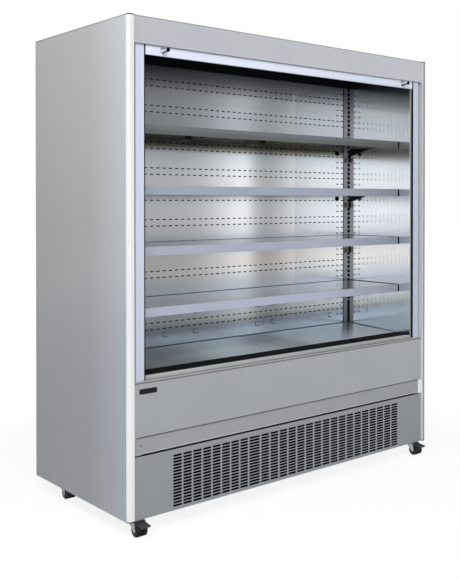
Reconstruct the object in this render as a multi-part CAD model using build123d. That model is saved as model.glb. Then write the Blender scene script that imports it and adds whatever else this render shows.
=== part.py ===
from build123d import *
import os

# Open multideck display fridge. Millimetres, X to the right, Y to the back, Z up.
# Drawn with Y = 0 at the noses of the corner posts and Z = 0 on the floor. When the pieces are
# written they move along Y, so that the origin is on the floor under the middle of the whole.

# ---- Overall ------------------------------------------------------------------------------
width = 1785.0
height = 1984.0
body_depth = 750.0
castor_height = 65.0
sheet = 1.5             # folded steel panels
thin_sheet = 1.2        # inner panels and shelves
seam = 1.0              # joint between two outer panels

# ---- Side panels and corner posts ---------------------------------------------------------
post_face = 27.8        # width of a post seen from the front
post_nose = 15.4        # radius of its outer corner
post_land = 0.4         # flat between the round of the nose and the side panel
post_depth = 36.0
post_tongue = 15.0      # part of the post that the side panel laps
cap_height = 4.0
cap_bevel = 1.4

# ---- Front panels, from the bottom up -----------------------------------------------------
panel_setback = 7.8     # face of the panels behind the noses of the posts
grille_height = 241.0
strip_gap = 6.0
strip_height = 68.0
strip_setback = 14.0
strip_end_gap = 17.7   # from the end of the strip to the post
fascia_height = 210.0
canopy_height = 105.0
panel_return = 10.0     # flanges that the outer panels are folded back by

# ---- Slots of the air inlet: (left end of the first, slot length, pitch, number) ----------
slot_groups = ((-679.0, 39.7, 49.3, 8), (-284.0, 56.0, 60.0, 1), (-217.0, 42.5, 53.3, 17))
slot_rows = 17
slot_row_pitch = 12.3
slot_height = 6.6
slot_foot = 15.0        # lower edge of the lowest row above the panel's lower edge

# ---- Insulated walls ----------------------------------------------------------------------
side_wall = 58.7
liner = 1.0
wall_setback = 29.0
liner_setback = 33.0
rear_wall = 60.0
roof_wall = 55.0
roof_setback = 75.0
tub_floor = 50.0
tub_front = 40.0        # rear face of the insulated upstand behind the fascia

# ---- Blind guides -------------------------------------------------------------------------
trim_step = 5.0         # from the face of a liner to the inner edge of the trim
trim_width = 39.0
trim_setback = 16.0
trim_plate = 4.0
trim_bead = 2.0         # radius of the bead along the inner edge
trim_web_inset = 18.0
trim_web = 10.0
gasket_width = 12.0
gasket_inset = 2.0

# ---- Ceiling, back panels and uprights ----------------------------------------------------
duct_depth = 240.0      # from the face of the back panels to the rear wall
panel_break_drop = 266.0   # joint of the two back panels under the canopy's lower edge
ceiling_rise = 7.0      # ceiling above the canopy's lower edge
ceiling_plate = 3.0
ceiling_front = 62.0
outlet_back = 150.0     # rear edge of the air outlet in the ceiling
outlet_slots = 30
outlet_border = 10.0
outlet_bar = 8.0
upright_width = 38.5
upright_depth = 15.0
upright_wall = 1.5
plug_inset = 89.0       # from the face of a liner
plug_radius = 11.0
plug_depth = 6.0
plug_drop = 48.0        # below the top of the shelf

# ---- Shelves ------------------------------------------------------------------------------
shelf_count = 4
top_bay = 295.0         # from the top shelf to the canopy's lower edge
lowest_bay = 245.0      # from the front of the deck to the lowest shelf
shelf_front = 105.0
shelf_end_gap = 10.0    # from the end of a shelf plate to the liner
shelf_back_gap = 2.0
shelf_flange = 24.0
price_rail_height = 36.0
price_rail_depth = 8.0
price_rail_end_gap = 0.5
rib_side = 232.0        # middle of a rib from the middle of the shelf
rib_width = 40.0
rib_depth = 16.0
rib_back_gap = 55.0     # from the back panel
rib_length = 120.0
bracket_plate = 3.0
bracket_gap = 1.0       # from the shelf's side flange to the bracket
bracket_nose = 18.0
bracket_knee = 29.0
bracket_knee_run = 155.0   # from the back panel to where the arm starts to deepen
bracket_root = 63.0
bracket_curve = 0.53    # share of the drop from knee to root at half the way
bracket_tail = 94.0
bracket_tail_width = 9.0
hook_height = 10.0
hook_reach = 5.0
hook_drop = 6.0
hook_gap = 1.0

# ---- Deck, return-air grille and ledge ----------------------------------------------------
deck_front = 131.0
deck_rise = 20.0        # front edge of the deck above the fascia
deck_fall = 16.0        # how much higher the rear edge is
deck_lip = 9.0
deck_step = 8.0
return_front = 42.0
return_sink = 2.0       # top of the grille below the front edge of the deck
return_plate = 6.0
return_slots = 40
return_border = 10.0
return_bar = 12.0
ledge_end_gap = 0.5
ledge_rise = 16.0
ledge_grooves = (7.0, 13.0)   # behind the face of the fascia
ledge_groove = 2.0      # width and depth of a groove
ledge_rail = 12.0       # the raised rail along the rear edge
ledge_slope_rise = 5.5

# ---- Night blind --------------------------------------------------------------------------
bar_end_gap = 3.0       # from the end of the bar to the liner
bar_height = 37.0
bar_thickness = 8.0
bar_lip = 3.9           # radius of its rounded lower edge
bar_setback = 17.0
bar_gap = 1.0           # under the canopy
knob_inset = 79.0       # from the end of the bar
knob_height = 21.0      # above the lower edge of the bar
knob_root = 13.2
knob_tip = 7.5
knob_cone = 30.0
knob_end = 10.0
knob_end_radius = 6.5
fabric = 0.6
roll_radius = 19.0
roll_end_gap = 6.0
roll_rise = 53.0        # axis above the canopy's lower edge
roll_pin = 4.0
roll_bracket = 4.0
roll_bracket_half = 20.0
pin_clearance = 0.05    # radial clearance of pins and shafts
face_gap = 0.3          # between faces that turn past each other

# ---- Machine bay --------------------------------------------------------------------------
pan_plate = 2.0
pan_rim = 40.0
pan_setback = 17.8
leg_width = 40.0
leg_plate = 3.0
beam_depth = 40.0
coil_left = -620.0
coil_right = -120.0
coil_front = 60.0
coil_depth = 44.0
coil_height = 220.0
coil_end = 2.0
cooler_end_gap = 155.0
cooler_front = 300.0
cooler_depth = 180.0
cooler_height = 120.0
cooler_foot = 12.0
fan_wall = 190.0
compressor_side = 300.0
compressor_back = 400.0
compressor_radius = 85.0
compressor_height = 190.0
compressor_feet = 12.0
compressor_bevel = 24.0
foot_spread = (78.0, 52.0)   # feet from the axis of the compressor
foot_plate = (190.0, 140.0)  # size of the plate that joins them
tray_left = 60.0
tray_right = 560.0
tray_front = 120.0
tray_back = 280.0
tray_height = 50.0
tray_wall = 1.5
louvre_rows = 6
louvre_pitch = 30.0
louvre_height = 12.0
louvre_length = 260.0
louvre_side = 420.0
gland_side = 700.0
gland_radius = 11.0
gland_bore = 5.0
gland_reach = 8.0       # how far the gland stands into the bay

# ---- Fans: blade radius, hub radius, blade depth ------------------------------------------
coil_fan = 100.0
coil_fan_hub = 28.0
cooler_fan = 72.0
cooler_fan_hub = 22.0
cooler_fan_side = 350.0
fan_depth = 22.0
fan_blades = 5
fan_pitch = 28.0
blade_plate = 1.6
blade_width = 40.0
fan_tip_gap = 4.0
fan_shaft = 3.0
motor_radius = 26.0
motor_length = 45.0
strap_width = 12.0
strap_plate = 3.0

# ---- Castors ------------------------------------------------------------------------------
castor_inset = 60.0     # swivel axis from the side of the cabinet
castor_front = 41.0     # swivel axis behind the noses
castor_rear_inset = 163.0   # swivel axis in front of the rear of the cabinet
wheel_radius = 25.0
wheel_width = 21.0
wheel_split = 4.0
wheel_edge = 3.0
wheel_spacer = 12.0     # radius of the hub between the two wheels
hub_recess = 3.0
hub_rim = 6.0           # width of the tyre seen from the side
trail = 25.0
castor_plate = 2.5
castor_plate_half = 22.0
cup_radius = 18.0
cup_height = 5.0
kingpin = 4.0
kingpin_head = 7.0
kingpin_head_height = 2.0
fork_plate = 2.0
fork_crown = 3.0
cheek_gap = 1.2         # from the side of a wheel to the cheek
axle_radius = 4.0
axle_boss = 7.0
crown_back = 11.0       # rear edge of the fork's crown behind the swivel axis
axle_end = 2.0
pedal_width = 44.0
pedal_plate = 2.0
pedal_back = 19.0       # pivot behind the noses
pedal_pivot_height = 53.5
pedal_barrel = 2.8
pedal_pin = 1.5
pedal_front_reach = 28.0   # toe of the pedal in front of the noses
pedal_fall = 9.0
pedal_rim = 3.0

# ---- Small parts --------------------------------------------------------------------------
badge_left = -838.0
badge_width = 81.0
badge_foot = 155.0      # above the lower edge of the fascia
badge_height = 20.0
badge_plate = 1.5
badge_corner = 3.0
screw_inset = 18.0      # from the end of the strip
screw_radius = 4.5
screw_head = 2.0

# ---- Lines worked out from the sizes above ------------------------------------------------
half = width / 2
post_in = half - post_face
grille_top = castor_height + grille_height
strip_foot = grille_top + strip_gap
fascia_foot = strip_foot + strip_height
fascia_top = fascia_foot + fascia_height
canopy_foot = height - canopy_height
panel_half = post_in - seam / 2
panel_rear = panel_setback + sheet
wall_in = post_in - side_wall
cavity_half = wall_in - liner
rear_face = body_depth - rear_wall
back_panel = rear_face - duct_depth
roof_top = height - sheet
roof_foot = roof_top - roof_wall
tub_foot = fascia_foot + sheet
tub_top = tub_foot + tub_floor
strip_half = post_in - strip_end_gap
screw_side = strip_half - screw_inset
trim_inner = cavity_half + trim_step
trim_outer = trim_inner + trim_width
upright_in = cavity_half - upright_width
upright_front = back_panel - upright_depth
ceiling = canopy_foot + ceiling_rise
panel_break = canopy_foot - panel_break_drop
plug_side = cavity_half - plug_inset
deck_front_height = fascia_top + deck_rise
deck_back_height = deck_front_height + deck_fall
top_shelf = canopy_foot - top_bay
shelf_pitch = (top_shelf - deck_front_height - lowest_bay) / (shelf_count - 1)
shelf_tops = [top_shelf - shelf_pitch * n for n in range(shelf_count)]
rail_back = shelf_front + price_rail_depth
shelf_half = cavity_half - shelf_end_gap
bracket_in = shelf_half + bracket_gap
bar_top = canopy_foot - bar_gap
bar_foot = bar_top - bar_height
bar_middle = bar_setback + bar_thickness / 2
bar_half = cavity_half - bar_end_gap
knob_side = bar_half - knob_inset
roll_half = cavity_half - roll_end_gap
roll_height = canopy_foot + roll_rise
ledge_top = fascia_top + ledge_rise
roll_middle = bar_middle + fabric / 2 + face_gap + roll_radius
pan_top = castor_height + pan_plate
castor_side = half - castor_inset
castor_rear = body_depth - castor_rear_inset
return_top = deck_front_height - return_sink
return_foot = return_top - return_plate
cooler_half = cavity_half - cooler_end_gap
front_reach = max(pedal_front_reach, knob_cone + knob_end - bar_setback)
middle_y = (body_depth - front_reach) / 2

nodes = {}


def slab(x_from, x_to, y_from, y_to, z_from, z_to):
    block = Box(x_to - x_from, y_to - y_from, z_to - z_from, align=(Align.MIN,) * 3)
    return Pos(x_from, y_from, z_from) * block


def across(points, x_from, x_to):
    """A section given as (y, z) points, drawn out along X."""
    section = Plane.YZ * make_face(Polyline(*points, close=True))
    return Pos(x_from, 0, 0) * extrude(section, x_to - x_from)


def along_y(radius, x, z, y_from, y_to, end_radius=None):
    """A round bar or cone along Y."""
    if end_radius is None:
        bar = Cylinder(radius, y_to - y_from)
    else:
        bar = Cone(end_radius, radius, y_to - y_from)
    return Pos(x, (y_from + y_to) / 2, z) * Rot(90, 0, 0) * bar


def along_x(radius, y, z, x_from, x_to):
    return Pos((x_from + x_to) / 2, y, z) * Rot(0, 90, 0) * Cylinder(radius, x_to - x_from)


def pair(solid):
    """A right-hand piece and its left-hand mirror image."""
    return [solid, mirror(solid, about=Plane.YZ)]


def fused(*solids):
    whole = solids[0]
    for solid in solids[1:]:
        whole = whole + solid
    return whole


# ---- Outer case ---------------------------------------------------------------------------
def post_section(z_from, z_to):
    """The post: round nose outside, flat return inside, a tongue under the side panel."""
    bar = slab(post_in, half, 0, post_depth, z_from, z_to)
    bar = bar - slab(post_in + post_tongue, half + seam, post_nose, post_depth + seam, z_from, z_to)
    nose = bar.edges().filter_by(Axis.Z).sort_by_distance((half, 0, (z_from + z_to) / 2))[0]
    return fillet(nose, post_nose - post_land)


def bevelled(face):
    """Bevel a cap along the front and round the nose."""
    return chamfer(face.edges().filter_by(lambda edge: edge.center().Y < post_nose / 2), cap_bevel)


side_panel = slab(post_in, half, post_nose, body_depth, castor_height, height)
side_panel = side_panel - slab(
    post_in, post_in + post_tongue, post_nose, post_depth, castor_height, height
)
nodes["side_panel_right"], nodes["side_panel_left"] = [[side] for side in pair(side_panel)]

nodes["corner_posts"] = pair(post_section(castor_height + cap_height, height - cap_height))

top_cap = post_section(height - cap_height, height)
top_cap = bevelled(top_cap.faces().sort_by(Axis.Z)[-1])
foot_cap = post_section(castor_height, castor_height + cap_height)
foot_cap = bevelled(foot_cap.faces().sort_by(Axis.Z)[0])
nodes["post_caps"] = pair(top_cap) + pair(foot_cap)


def folded_panel(z_from, z_to, top_return, foot_return):
    """An outer front panel with its upper and lower edges folded back."""
    panel = slab(-panel_half, panel_half, panel_setback, panel_rear, z_from, z_to)
    top = slab(-panel_half, panel_half, panel_setback, top_return, z_to - sheet, z_to)
    foot = slab(-panel_half, panel_half, panel_setback, foot_return, z_from, z_from + sheet)
    return fused(panel, top, foot)


nodes["canopy_panel"] = [
    folded_panel(canopy_foot, height, roof_setback + panel_return, bar_setback - 3 * sheet)
]
nodes["fascia_panel"] = [
    folded_panel(fascia_foot, fascia_top, wall_setback, panel_rear + panel_return)
]
nodes["strip_panel"] = [
    slab(-strip_half, strip_half, strip_setback, strip_setback + sheet, strip_foot, fascia_foot - seam)
]

# ---- Air inlet panel: rows of slots in groups of columns ----------------------------------
grille_panel = folded_panel(castor_height, grille_top, pan_setback, pan_setback)
slots = Sketch()
for first, length, pitch, count in slot_groups:
    for column in range(count):
        for row in range(slot_rows):
            slot_z = castor_height + slot_foot + slot_height / 2 + row * slot_row_pitch
            slot_x = first + column * pitch + length / 2
            slots += Pos(slot_x, slot_z) * Rectangle(length, slot_height)
slot_cutters = extrude(Plane.XZ.offset(-panel_rear - seam) * slots, 2 * sheet)
nodes["grille_panel"] = [grille_panel - slot_cutters]

# ---- Insulated walls ----------------------------------------------------------------------
nodes["side_walls"] = pair(slab(wall_in, post_in, wall_setback, rear_face, tub_foot, roof_top))
nodes["side_liners"] = pair(slab(cavity_half, wall_in, liner_setback, rear_face, tub_top, roof_foot))
nodes["rear_wall"] = [slab(-post_in, post_in, rear_face, body_depth, tub_foot, roof_top)]
nodes["insulated_roof"] = [slab(-wall_in, wall_in, roof_setback, rear_face, roof_foot, roof_top)]
tub = fused(
    slab(-wall_in, wall_in, panel_rear, rear_face, tub_foot, tub_top),
    slab(-cavity_half, cavity_half, panel_rear, tub_front, tub_top, fascia_top - sheet),
)
nodes["insulated_tub"] = [tub]

# ---- Blind guides with their gaskets ------------------------------------------------------
guide = fused(
    slab(trim_inner, trim_outer, trim_setback, trim_setback + trim_plate, fascia_top, canopy_foot),
    slab(
        trim_inner + trim_web_inset,
        trim_inner + trim_web_inset + trim_web,
        trim_setback + trim_plate,
        wall_setback,
        fascia_top,
        canopy_foot,
    ),
    Pos(trim_inner + trim_bead, trim_setback + trim_bead / 2, fascia_top)
    * Cylinder(trim_bead, canopy_foot - fascia_top, align=(Align.CENTER, Align.CENTER, Align.MIN)),
)
nodes["guide_trims"] = pair(guide)
gasket_from = trim_inner + gasket_inset
nodes["guide_gaskets"] = pair(
    slab(
        gasket_from,
        gasket_from + gasket_width,
        trim_setback + trim_plate,
        wall_setback,
        fascia_top,
        canopy_foot,
    )
)


# ---- Ceiling with the air outlet, back panels, slotted uprights ---------------------------
def slotted_plate(x_half, y_from, y_to, z_from, z_to, number, border, bar):
    """A flat plate with a row of openings across its depth."""
    plate = slab(-x_half, x_half, y_from, y_to, z_from, z_to)
    pitch = 2 * (x_half - border) / number
    opening = Rectangle(pitch - bar, y_to - y_from - 2 * border)
    middle = (y_from + y_to) / 2
    places = [Pos(-x_half + border + pitch * (n + 0.5), middle) for n in range(number)]
    openings = Sketch() + [place * opening for place in places]
    return plate - extrude(Plane.XY.offset(z_from - seam) * openings, z_to - z_from + 2 * seam)


outlet = slotted_plate(
    cavity_half,
    ceiling_front,
    outlet_back,
    ceiling,
    ceiling + ceiling_plate,
    outlet_slots,
    outlet_border,
    outlet_bar,
)
ceiling_rear = slab(
    -cavity_half, cavity_half, outlet_back, back_panel, ceiling, ceiling + ceiling_plate
)
ceiling_lip = slab(
    -cavity_half, cavity_half, ceiling_front, ceiling_front + ceiling_plate, ceiling, roof_foot
)
nodes["ceiling_panel"] = [fused(outlet, ceiling_rear, ceiling_lip)]

panel_back = back_panel + thin_sheet
break_half = seam / 2
nodes["back_panel_upper"] = [
    slab(
        -cavity_half,
        cavity_half,
        back_panel,
        panel_back,
        panel_break + break_half,
        ceiling + ceiling_plate,
    )
]
nodes["back_panel_lower"] = [
    slab(
        -cavity_half, cavity_half, back_panel, panel_back, deck_back_height, panel_break - break_half
    )
]

hook_steps = (-hook_height - sheet, -bracket_root + hook_height)
upright = slab(
    upright_in, cavity_half, upright_front, back_panel, deck_back_height, ceiling
)
upright = upright - slab(
    upright_in + upright_wall,
    cavity_half - upright_wall,
    upright_front + upright_wall,
    back_panel + seam,
    deck_back_height - seam,
    ceiling + seam,
)
for shelf_top in shelf_tops:
    for step in hook_steps:
        upright = upright - slab(
            bracket_in - hook_gap,
            bracket_in + bracket_plate + hook_gap,
            upright_front - seam,
            upright_front + upright_wall + seam,
            shelf_top + step - hook_height / 2 - hook_drop,
            shelf_top + step + hook_height / 2 + hook_gap,
        )
nodes["shelf_uprights"] = pair(upright)
nodes["back_panel_plugs"] = [
    along_y(plug_radius, plug_side, shelf_top - plug_drop, back_panel - plug_depth, back_panel)
    for shelf_top in shelf_tops[:2]
]


# ---- Shelves: folded tray, cross ribs, price rail, hooked brackets ------------------------
def shelf_plate(top):
    foot = top - thin_sheet
    rear = back_panel - shelf_back_gap
    plate = slab(-shelf_half, shelf_half, rail_back, rear, foot, top)
    for side in (-1, 1):
        edges = sorted((side * (upright_in - shelf_back_gap), side * (shelf_half + seam)))
        plate = plate - slab(
            *edges, upright_front - shelf_back_gap, back_panel, foot - seam, top + seam
        )
    lip = slab(-shelf_half, shelf_half, rail_back, rail_back + thin_sheet, top - shelf_flange, top)
    turned = upright_front - shelf_back_gap
    flange = slab(shelf_half - thin_sheet, shelf_half, rail_back, turned, top - shelf_flange, top)
    rib_rear = back_panel - rib_back_gap
    rib = slab(
        rib_side - rib_width / 2,
        rib_side + rib_width / 2,
        rib_rear - rib_length,
        rib_rear,
        foot - rib_depth,
        foot,
    )
    rib = rib - slab(
        rib_side - rib_width / 2 + thin_sheet,
        rib_side + rib_width / 2 - thin_sheet,
        rib_rear - rib_length - seam,
        rib_rear + seam,
        foot - rib_depth + thin_sheet,
        foot,
    )
    return fused(plate, lip, *pair(flange), *pair(rib))


def price_rail(top):
    """Open C section with its front face flat."""
    points = (
        (shelf_front, top),
        (rail_back, top),
        (rail_back, top - sheet),
        (shelf_front + sheet, top - sheet),
        (shelf_front + sheet, top - price_rail_height + sheet),
        (rail_back, top - price_rail_height + sheet),
        (rail_back, top - price_rail_height),
        (shelf_front, top - price_rail_height),
    )
    end = cavity_half - price_rail_end_gap
    return across(points, -end, end)


def bracket(top):
    """Cantilever arm with two hooks that drop behind the face of the upright."""
    foot = top - thin_sheet
    front = rail_back + thin_sheet
    knee = back_panel - bracket_knee_run
    tail_front = upright_front - bracket_tail_width
    middle = ((knee + tail_front) / 2, top - bracket_knee - (bracket_root - bracket_knee) * bracket_curve)
    arm = Polyline(
        (tail_front, top - bracket_root),
        (tail_front, top - bracket_tail),
        (upright_front, top - bracket_tail),
        (upright_front, foot),
        (front, foot),
        (front, top - bracket_nose),
        (knee, top - bracket_knee),
    )
    curve = ThreePointArc((knee, top - bracket_knee), middle, (tail_front, top - bracket_root))
    section = Plane.YZ * make_face(Curve() + [arm, curve])
    plate = Pos(bracket_in, 0, 0) * extrude(section, bracket_plate)
    for step in hook_steps:
        root = slab(
            bracket_in,
            bracket_in + bracket_plate,
            upright_front,
            upright_front + hook_reach,
            top + step - hook_height / 2,
            top + step + hook_height / 2,
        )
        nib = slab(
            bracket_in,
            bracket_in + bracket_plate,
            upright_front + upright_wall + face_gap,
            upright_front + hook_reach,
            top + step - hook_height / 2 - hook_drop + face_gap,
            top + step,
        )
        plate = fused(plate, root, nib)
    return plate


for number, shelf_top in enumerate(shelf_tops, start=1):
    nodes["shelf_%d" % number] = [shelf_plate(shelf_top)]
nodes["price_rails"] = [price_rail(shelf_top) for shelf_top in shelf_tops]
nodes["shelf_brackets"] = sum((pair(bracket(shelf_top)) for shelf_top in shelf_tops), [])

# ---- Deck, return-air grille and the ledge over the fascia --------------------------------
deck_rear = back_panel + thin_sheet
deck_points = (
    (deck_front - deck_lip, return_foot),
    (deck_front, return_foot),
    (deck_front, deck_front_height),
    (deck_rear, deck_back_height),
    (deck_rear, deck_back_height - thin_sheet),
    (deck_front + thin_sheet, deck_front_height - thin_sheet),
    (deck_front + thin_sheet, return_foot - thin_sheet),
    (deck_front - deck_lip, return_foot - thin_sheet),
)
nodes["deck_tray"] = [across(deck_points, -cavity_half, cavity_half)]
nodes["return_air_grille"] = [
    slotted_plate(
        cavity_half - ledge_end_gap,
        return_front,
        deck_front,
        return_foot,
        return_top,
        return_slots,
        return_border,
        return_bar,
    )
]


def ledge_section():
    """Sloping top with two grooves, a raised pale rail, a step that the grille rests on."""
    rail_front = return_front - ledge_rail
    rail_foot = fascia_top + sheet + ledge_slope_rise
    slope = ledge_slope_rise / (rail_front - panel_setback)
    points = [(panel_setback, fascia_top), (panel_setback, fascia_top + sheet)]
    for start in ledge_grooves:
        for run, drop in ((0, 0), (0, ledge_groove), (ledge_groove, ledge_groove), (ledge_groove, 0)):
            run_y = panel_setback + start + run
            points.append((run_y, fascia_top + sheet + slope * (start + run) - drop))
    points += [
        (rail_front, rail_foot),
        (return_front - 2 * seam, ledge_top),
        (return_front - seam / 2, ledge_top),
        (return_front - seam / 2, return_foot),
        (return_front + deck_step, return_foot),
        (return_front + deck_step, return_foot - 2 * sheet),
        (tub_front, return_foot - 2 * sheet),
        (tub_front, fascia_top),
    ]
    return points


ledge_half = trim_inner - ledge_end_gap
front_ledge = across(ledge_section(), -ledge_half, ledge_half)
wall_relief = slab(cavity_half, half, liner_setback - 4 * seam, body_depth, 0, height)
for side in pair(wall_relief):
    front_ledge = front_ledge - side
nodes["front_ledge"] = [front_ledge]

# ---- Night blind --------------------------------------------------------------------------
blind_bar = slab(-bar_half, bar_half, bar_setback, bar_setback + bar_thickness, bar_foot, bar_top)
rounded = blind_bar.edges().filter_by(Axis.X).sort_by(Axis.Z)[:2]
nodes["blind_bar"] = [fillet(rounded, bar_lip)]

knob_z = bar_foot + knob_height
knob = fused(
    along_y(knob_root, knob_side, knob_z, bar_setback - knob_cone, bar_setback, knob_tip),
    along_y(
        knob_end_radius,
        knob_side,
        knob_z,
        bar_setback - knob_cone - knob_end,
        bar_setback - knob_cone,
    ),
)
nodes["bar_knobs"] = pair(knob)
nodes["blind_fabric"] = [
    slab(
        -roll_half,
        roll_half,
        bar_middle - fabric / 2,
        bar_middle + fabric / 2,
        bar_top,
        roll_height,
    )
]
nodes["blind_roller"] = [
    fused(
        along_x(roll_radius, roll_middle, roll_height, -roll_half, roll_half),
        along_x(roll_pin, roll_middle, roll_height, -cavity_half, cavity_half),
    )
]
roller_bracket = slab(
    cavity_half - roll_bracket,
    cavity_half,
    roll_middle - roll_bracket_half,
    roll_middle + roll_bracket_half,
    roof_foot - roll_bracket_half,
    roll_height + roll_bracket_half,
)
roller_bracket = roller_bracket - along_x(
    roll_pin + pin_clearance,
    roll_middle,
    roll_height,
    cavity_half - 2 * roll_bracket,
    cavity_half + seam,
)
nodes["roller_brackets"] = pair(roller_bracket)

# ---- Machine bay: pan with corner legs, beam behind the strip -----------------------------
rear_panel_face = body_depth - sheet
pan = slab(-post_in, post_in, pan_setback, rear_panel_face, castor_height, pan_top)
pan_rim_top = castor_height + pan_rim
for y_from in (pan_setback, rear_panel_face - pan_plate):
    pan = pan + slab(-post_in, post_in, y_from, y_from + pan_plate, castor_height, pan_rim_top)
rim = slab(post_in - pan_plate, post_in, pan_setback, rear_panel_face, castor_height, pan_rim_top)
legs = []
for y_from, y_to, turned_in in (
    (pan_setback, pan_setback + leg_width, pan_setback),
    (rear_panel_face - leg_width, rear_panel_face, rear_panel_face - leg_plate),
):
    leg_top = strip_foot if y_from == pan_setback else tub_foot
    leg = slab(post_in - leg_plate, post_in, y_from, y_to, castor_height, leg_top)
    leg = leg + slab(
        post_in - leg_width, post_in, turned_in, turned_in + leg_plate, castor_height, leg_top
    )
    legs.append(leg)
for piece in (rim, *legs):
    pan = fused(pan, *pair(piece))
nodes["base_pan"] = [pan]

beam_front = strip_setback + sheet
beam = slab(-post_in, post_in, beam_front, beam_front + beam_depth, strip_foot, fascia_foot)
beam = beam - slab(
    -post_in - seam,
    post_in + seam,
    beam_front + leg_plate,
    beam_front + beam_depth + seam,
    strip_foot + leg_plate,
    fascia_foot - leg_plate,
)
nodes["front_beam"] = [beam]

screw = along_y(
    screw_radius, screw_side, strip_foot + strip_height / 2, strip_setback - screw_head, strip_setback
)
nodes["panel_screws"] = pair(screw)

badge = slab(
    badge_left,
    badge_left + badge_width,
    panel_setback - badge_plate,
    panel_setback,
    fascia_foot + badge_foot,
    fascia_foot + badge_foot + badge_height,
)
nodes["badge_plate"] = [fillet(badge.edges().filter_by(Axis.Y), badge_corner)]


# ---- Fans ---------------------------------------------------------------------------------
def fan_wheel(x, y, z, radius, hub):
    """Hub with pitched blades and the shaft that turns in the motor. The axis is along Y."""
    wheel = along_y(hub, x, z, y, y + fan_depth)
    shaft_end = y + fan_depth + face_gap + motor_length / 2
    wheel = wheel + along_y(fan_shaft, x, z, y + fan_depth, shaft_end)
    reach = radius - hub / 2
    blade = Box(blade_width, blade_plate, reach, align=(Align.CENTER, Align.CENTER, Align.MIN))
    for n in range(fan_blades):
        turn = Rot(0, 360.0 / fan_blades * n, 0)
        wheel = wheel + (
            Pos(x, y + fan_depth / 2, z) * turn * Pos(0, 0, hub / 2) * Rot(0, 0, fan_pitch) * blade
        )
    return wheel


def fan_mount(x, y, z, radius):
    """Motor on a strap over the fan's opening, to be fused to the plate in front of it."""
    strap_y = y + fan_depth + face_gap
    arm = radius + fan_tip_gap + strap_width
    strap = slab(
        x - arm,
        x + arm,
        strap_y,
        strap_y + strap_plate,
        z - strap_width / 2,
        z + strap_width / 2,
    )
    motor = along_y(motor_radius, x, z, strap_y, strap_y + motor_length)
    bore_end = strap_y + motor_length / 2 + seam
    bore = along_y(fan_shaft + pin_clearance, x, z, strap_y - seam, bore_end)
    feet = [
        slab(
            *sorted((x + side * arm, x + side * (arm - strap_width))),
            y + face_gap,
            strap_y + strap_plate,
            z - strap_width / 2,
            z + strap_width / 2,
        )
        for side in (-1, 1)
    ]
    return fused(strap, motor, *feet) - bore


def fan_opening(x, y, z, radius):
    return along_y(radius + fan_tip_gap, x, z, y - fan_depth, y + fan_depth)


coil_middle = (coil_left + coil_right) / 2
coil_axis = pan_top + coil_height / 2
coil_back = coil_front + coil_depth
core = slab(
    coil_left + coil_end,
    coil_right - coil_end,
    coil_front,
    coil_back,
    pan_top + coil_end,
    pan_top + coil_height,
)
ends = [
    slab(
        x,
        x + coil_end,
        coil_front - coil_end,
        coil_back + coil_end,
        pan_top,
        pan_top + coil_height,
    )
    for x in (coil_left, coil_right - coil_end)
]
nodes["condenser"] = [fused(core, *ends)]

shroud_front = coil_back + coil_end
fan_front = shroud_front + sheet
shroud = slab(coil_left, coil_right, shroud_front, fan_front, pan_top, pan_top + coil_height)
shroud = shroud - fan_opening(coil_middle, shroud_front, coil_axis, coil_fan)
nodes["condenser_shroud"] = [
    fused(shroud, fan_mount(coil_middle, fan_front - face_gap, coil_axis, coil_fan))
]
nodes["condenser_fan"] = [
    fan_wheel(coil_middle, fan_front - face_gap, coil_axis, coil_fan, coil_fan_hub)
]

# ---- Cooler and its fans under the deck ---------------------------------------------------
cooler_back = cooler_front + cooler_depth
cooler_core = slab(
    -cooler_half,
    cooler_half,
    cooler_front,
    cooler_back,
    tub_top + cooler_foot,
    tub_top + cooler_foot + cooler_height,
)
cooler_end = slab(
    cooler_half,
    cooler_half + coil_end,
    cooler_front - coil_end,
    cooler_back + coil_end,
    tub_top,
    tub_top + cooler_foot + cooler_height,
)
nodes["evaporator"] = [fused(cooler_core, *pair(cooler_end))]

deck_slope = (deck_back_height - deck_front_height) / (deck_rear - deck_front)
fan_wall_top = deck_front_height - thin_sheet + deck_slope * (fan_wall - deck_front)
fan_axis = (tub_top + fan_wall_top) / 2
fan_plate = slab(
    -cavity_half,
    cavity_half,
    fan_wall,
    fan_wall + sheet,
    tub_top,
    fan_wall_top - face_gap / 3,
)
for side in (-1, 1):
    spot = (side * cooler_fan_side, fan_wall + sheet - face_gap, fan_axis, cooler_fan)
    fan_plate = fan_plate - fan_opening(*spot)
    fan_plate = fused(fan_plate, fan_mount(*spot))
nodes["evaporator_fan_plate"] = [fan_plate]
for name, side in (("left", -1), ("right", 1)):
    nodes["evaporator_fan_" + name] = [
        fan_wheel(
            side * cooler_fan_side, fan_wall + sheet - face_gap, fan_axis, cooler_fan, cooler_fan_hub
        )
    ]

# ---- Compressor, drain tray, rear service panel -------------------------------------------
shell_foot = pan_top + compressor_feet
shell = Pos(compressor_side, compressor_back, shell_foot) * Cylinder(
    compressor_radius, compressor_height, align=(Align.CENTER, Align.CENTER, Align.MIN)
)
shell = chamfer(shell.edges(), compressor_bevel)
base = Box(*foot_plate, leg_plate, align=(Align.CENTER, Align.CENTER, Align.MIN))
base = Pos(compressor_side, compressor_back, shell_foot - leg_plate / 2) * base
compressor = fused(shell, base)
for x_side in (-1, 1):
    for y_side in (-1, 1):
        foot_x = compressor_side + x_side * foot_spread[0]
        foot_y = compressor_back + y_side * foot_spread[1]
        compressor = compressor + Pos(foot_x, foot_y, pan_top) * Cylinder(
            compressor_feet,
            compressor_feet,
            align=(Align.CENTER, Align.CENTER, Align.MIN),
        )
nodes["compressor"] = [compressor]

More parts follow.
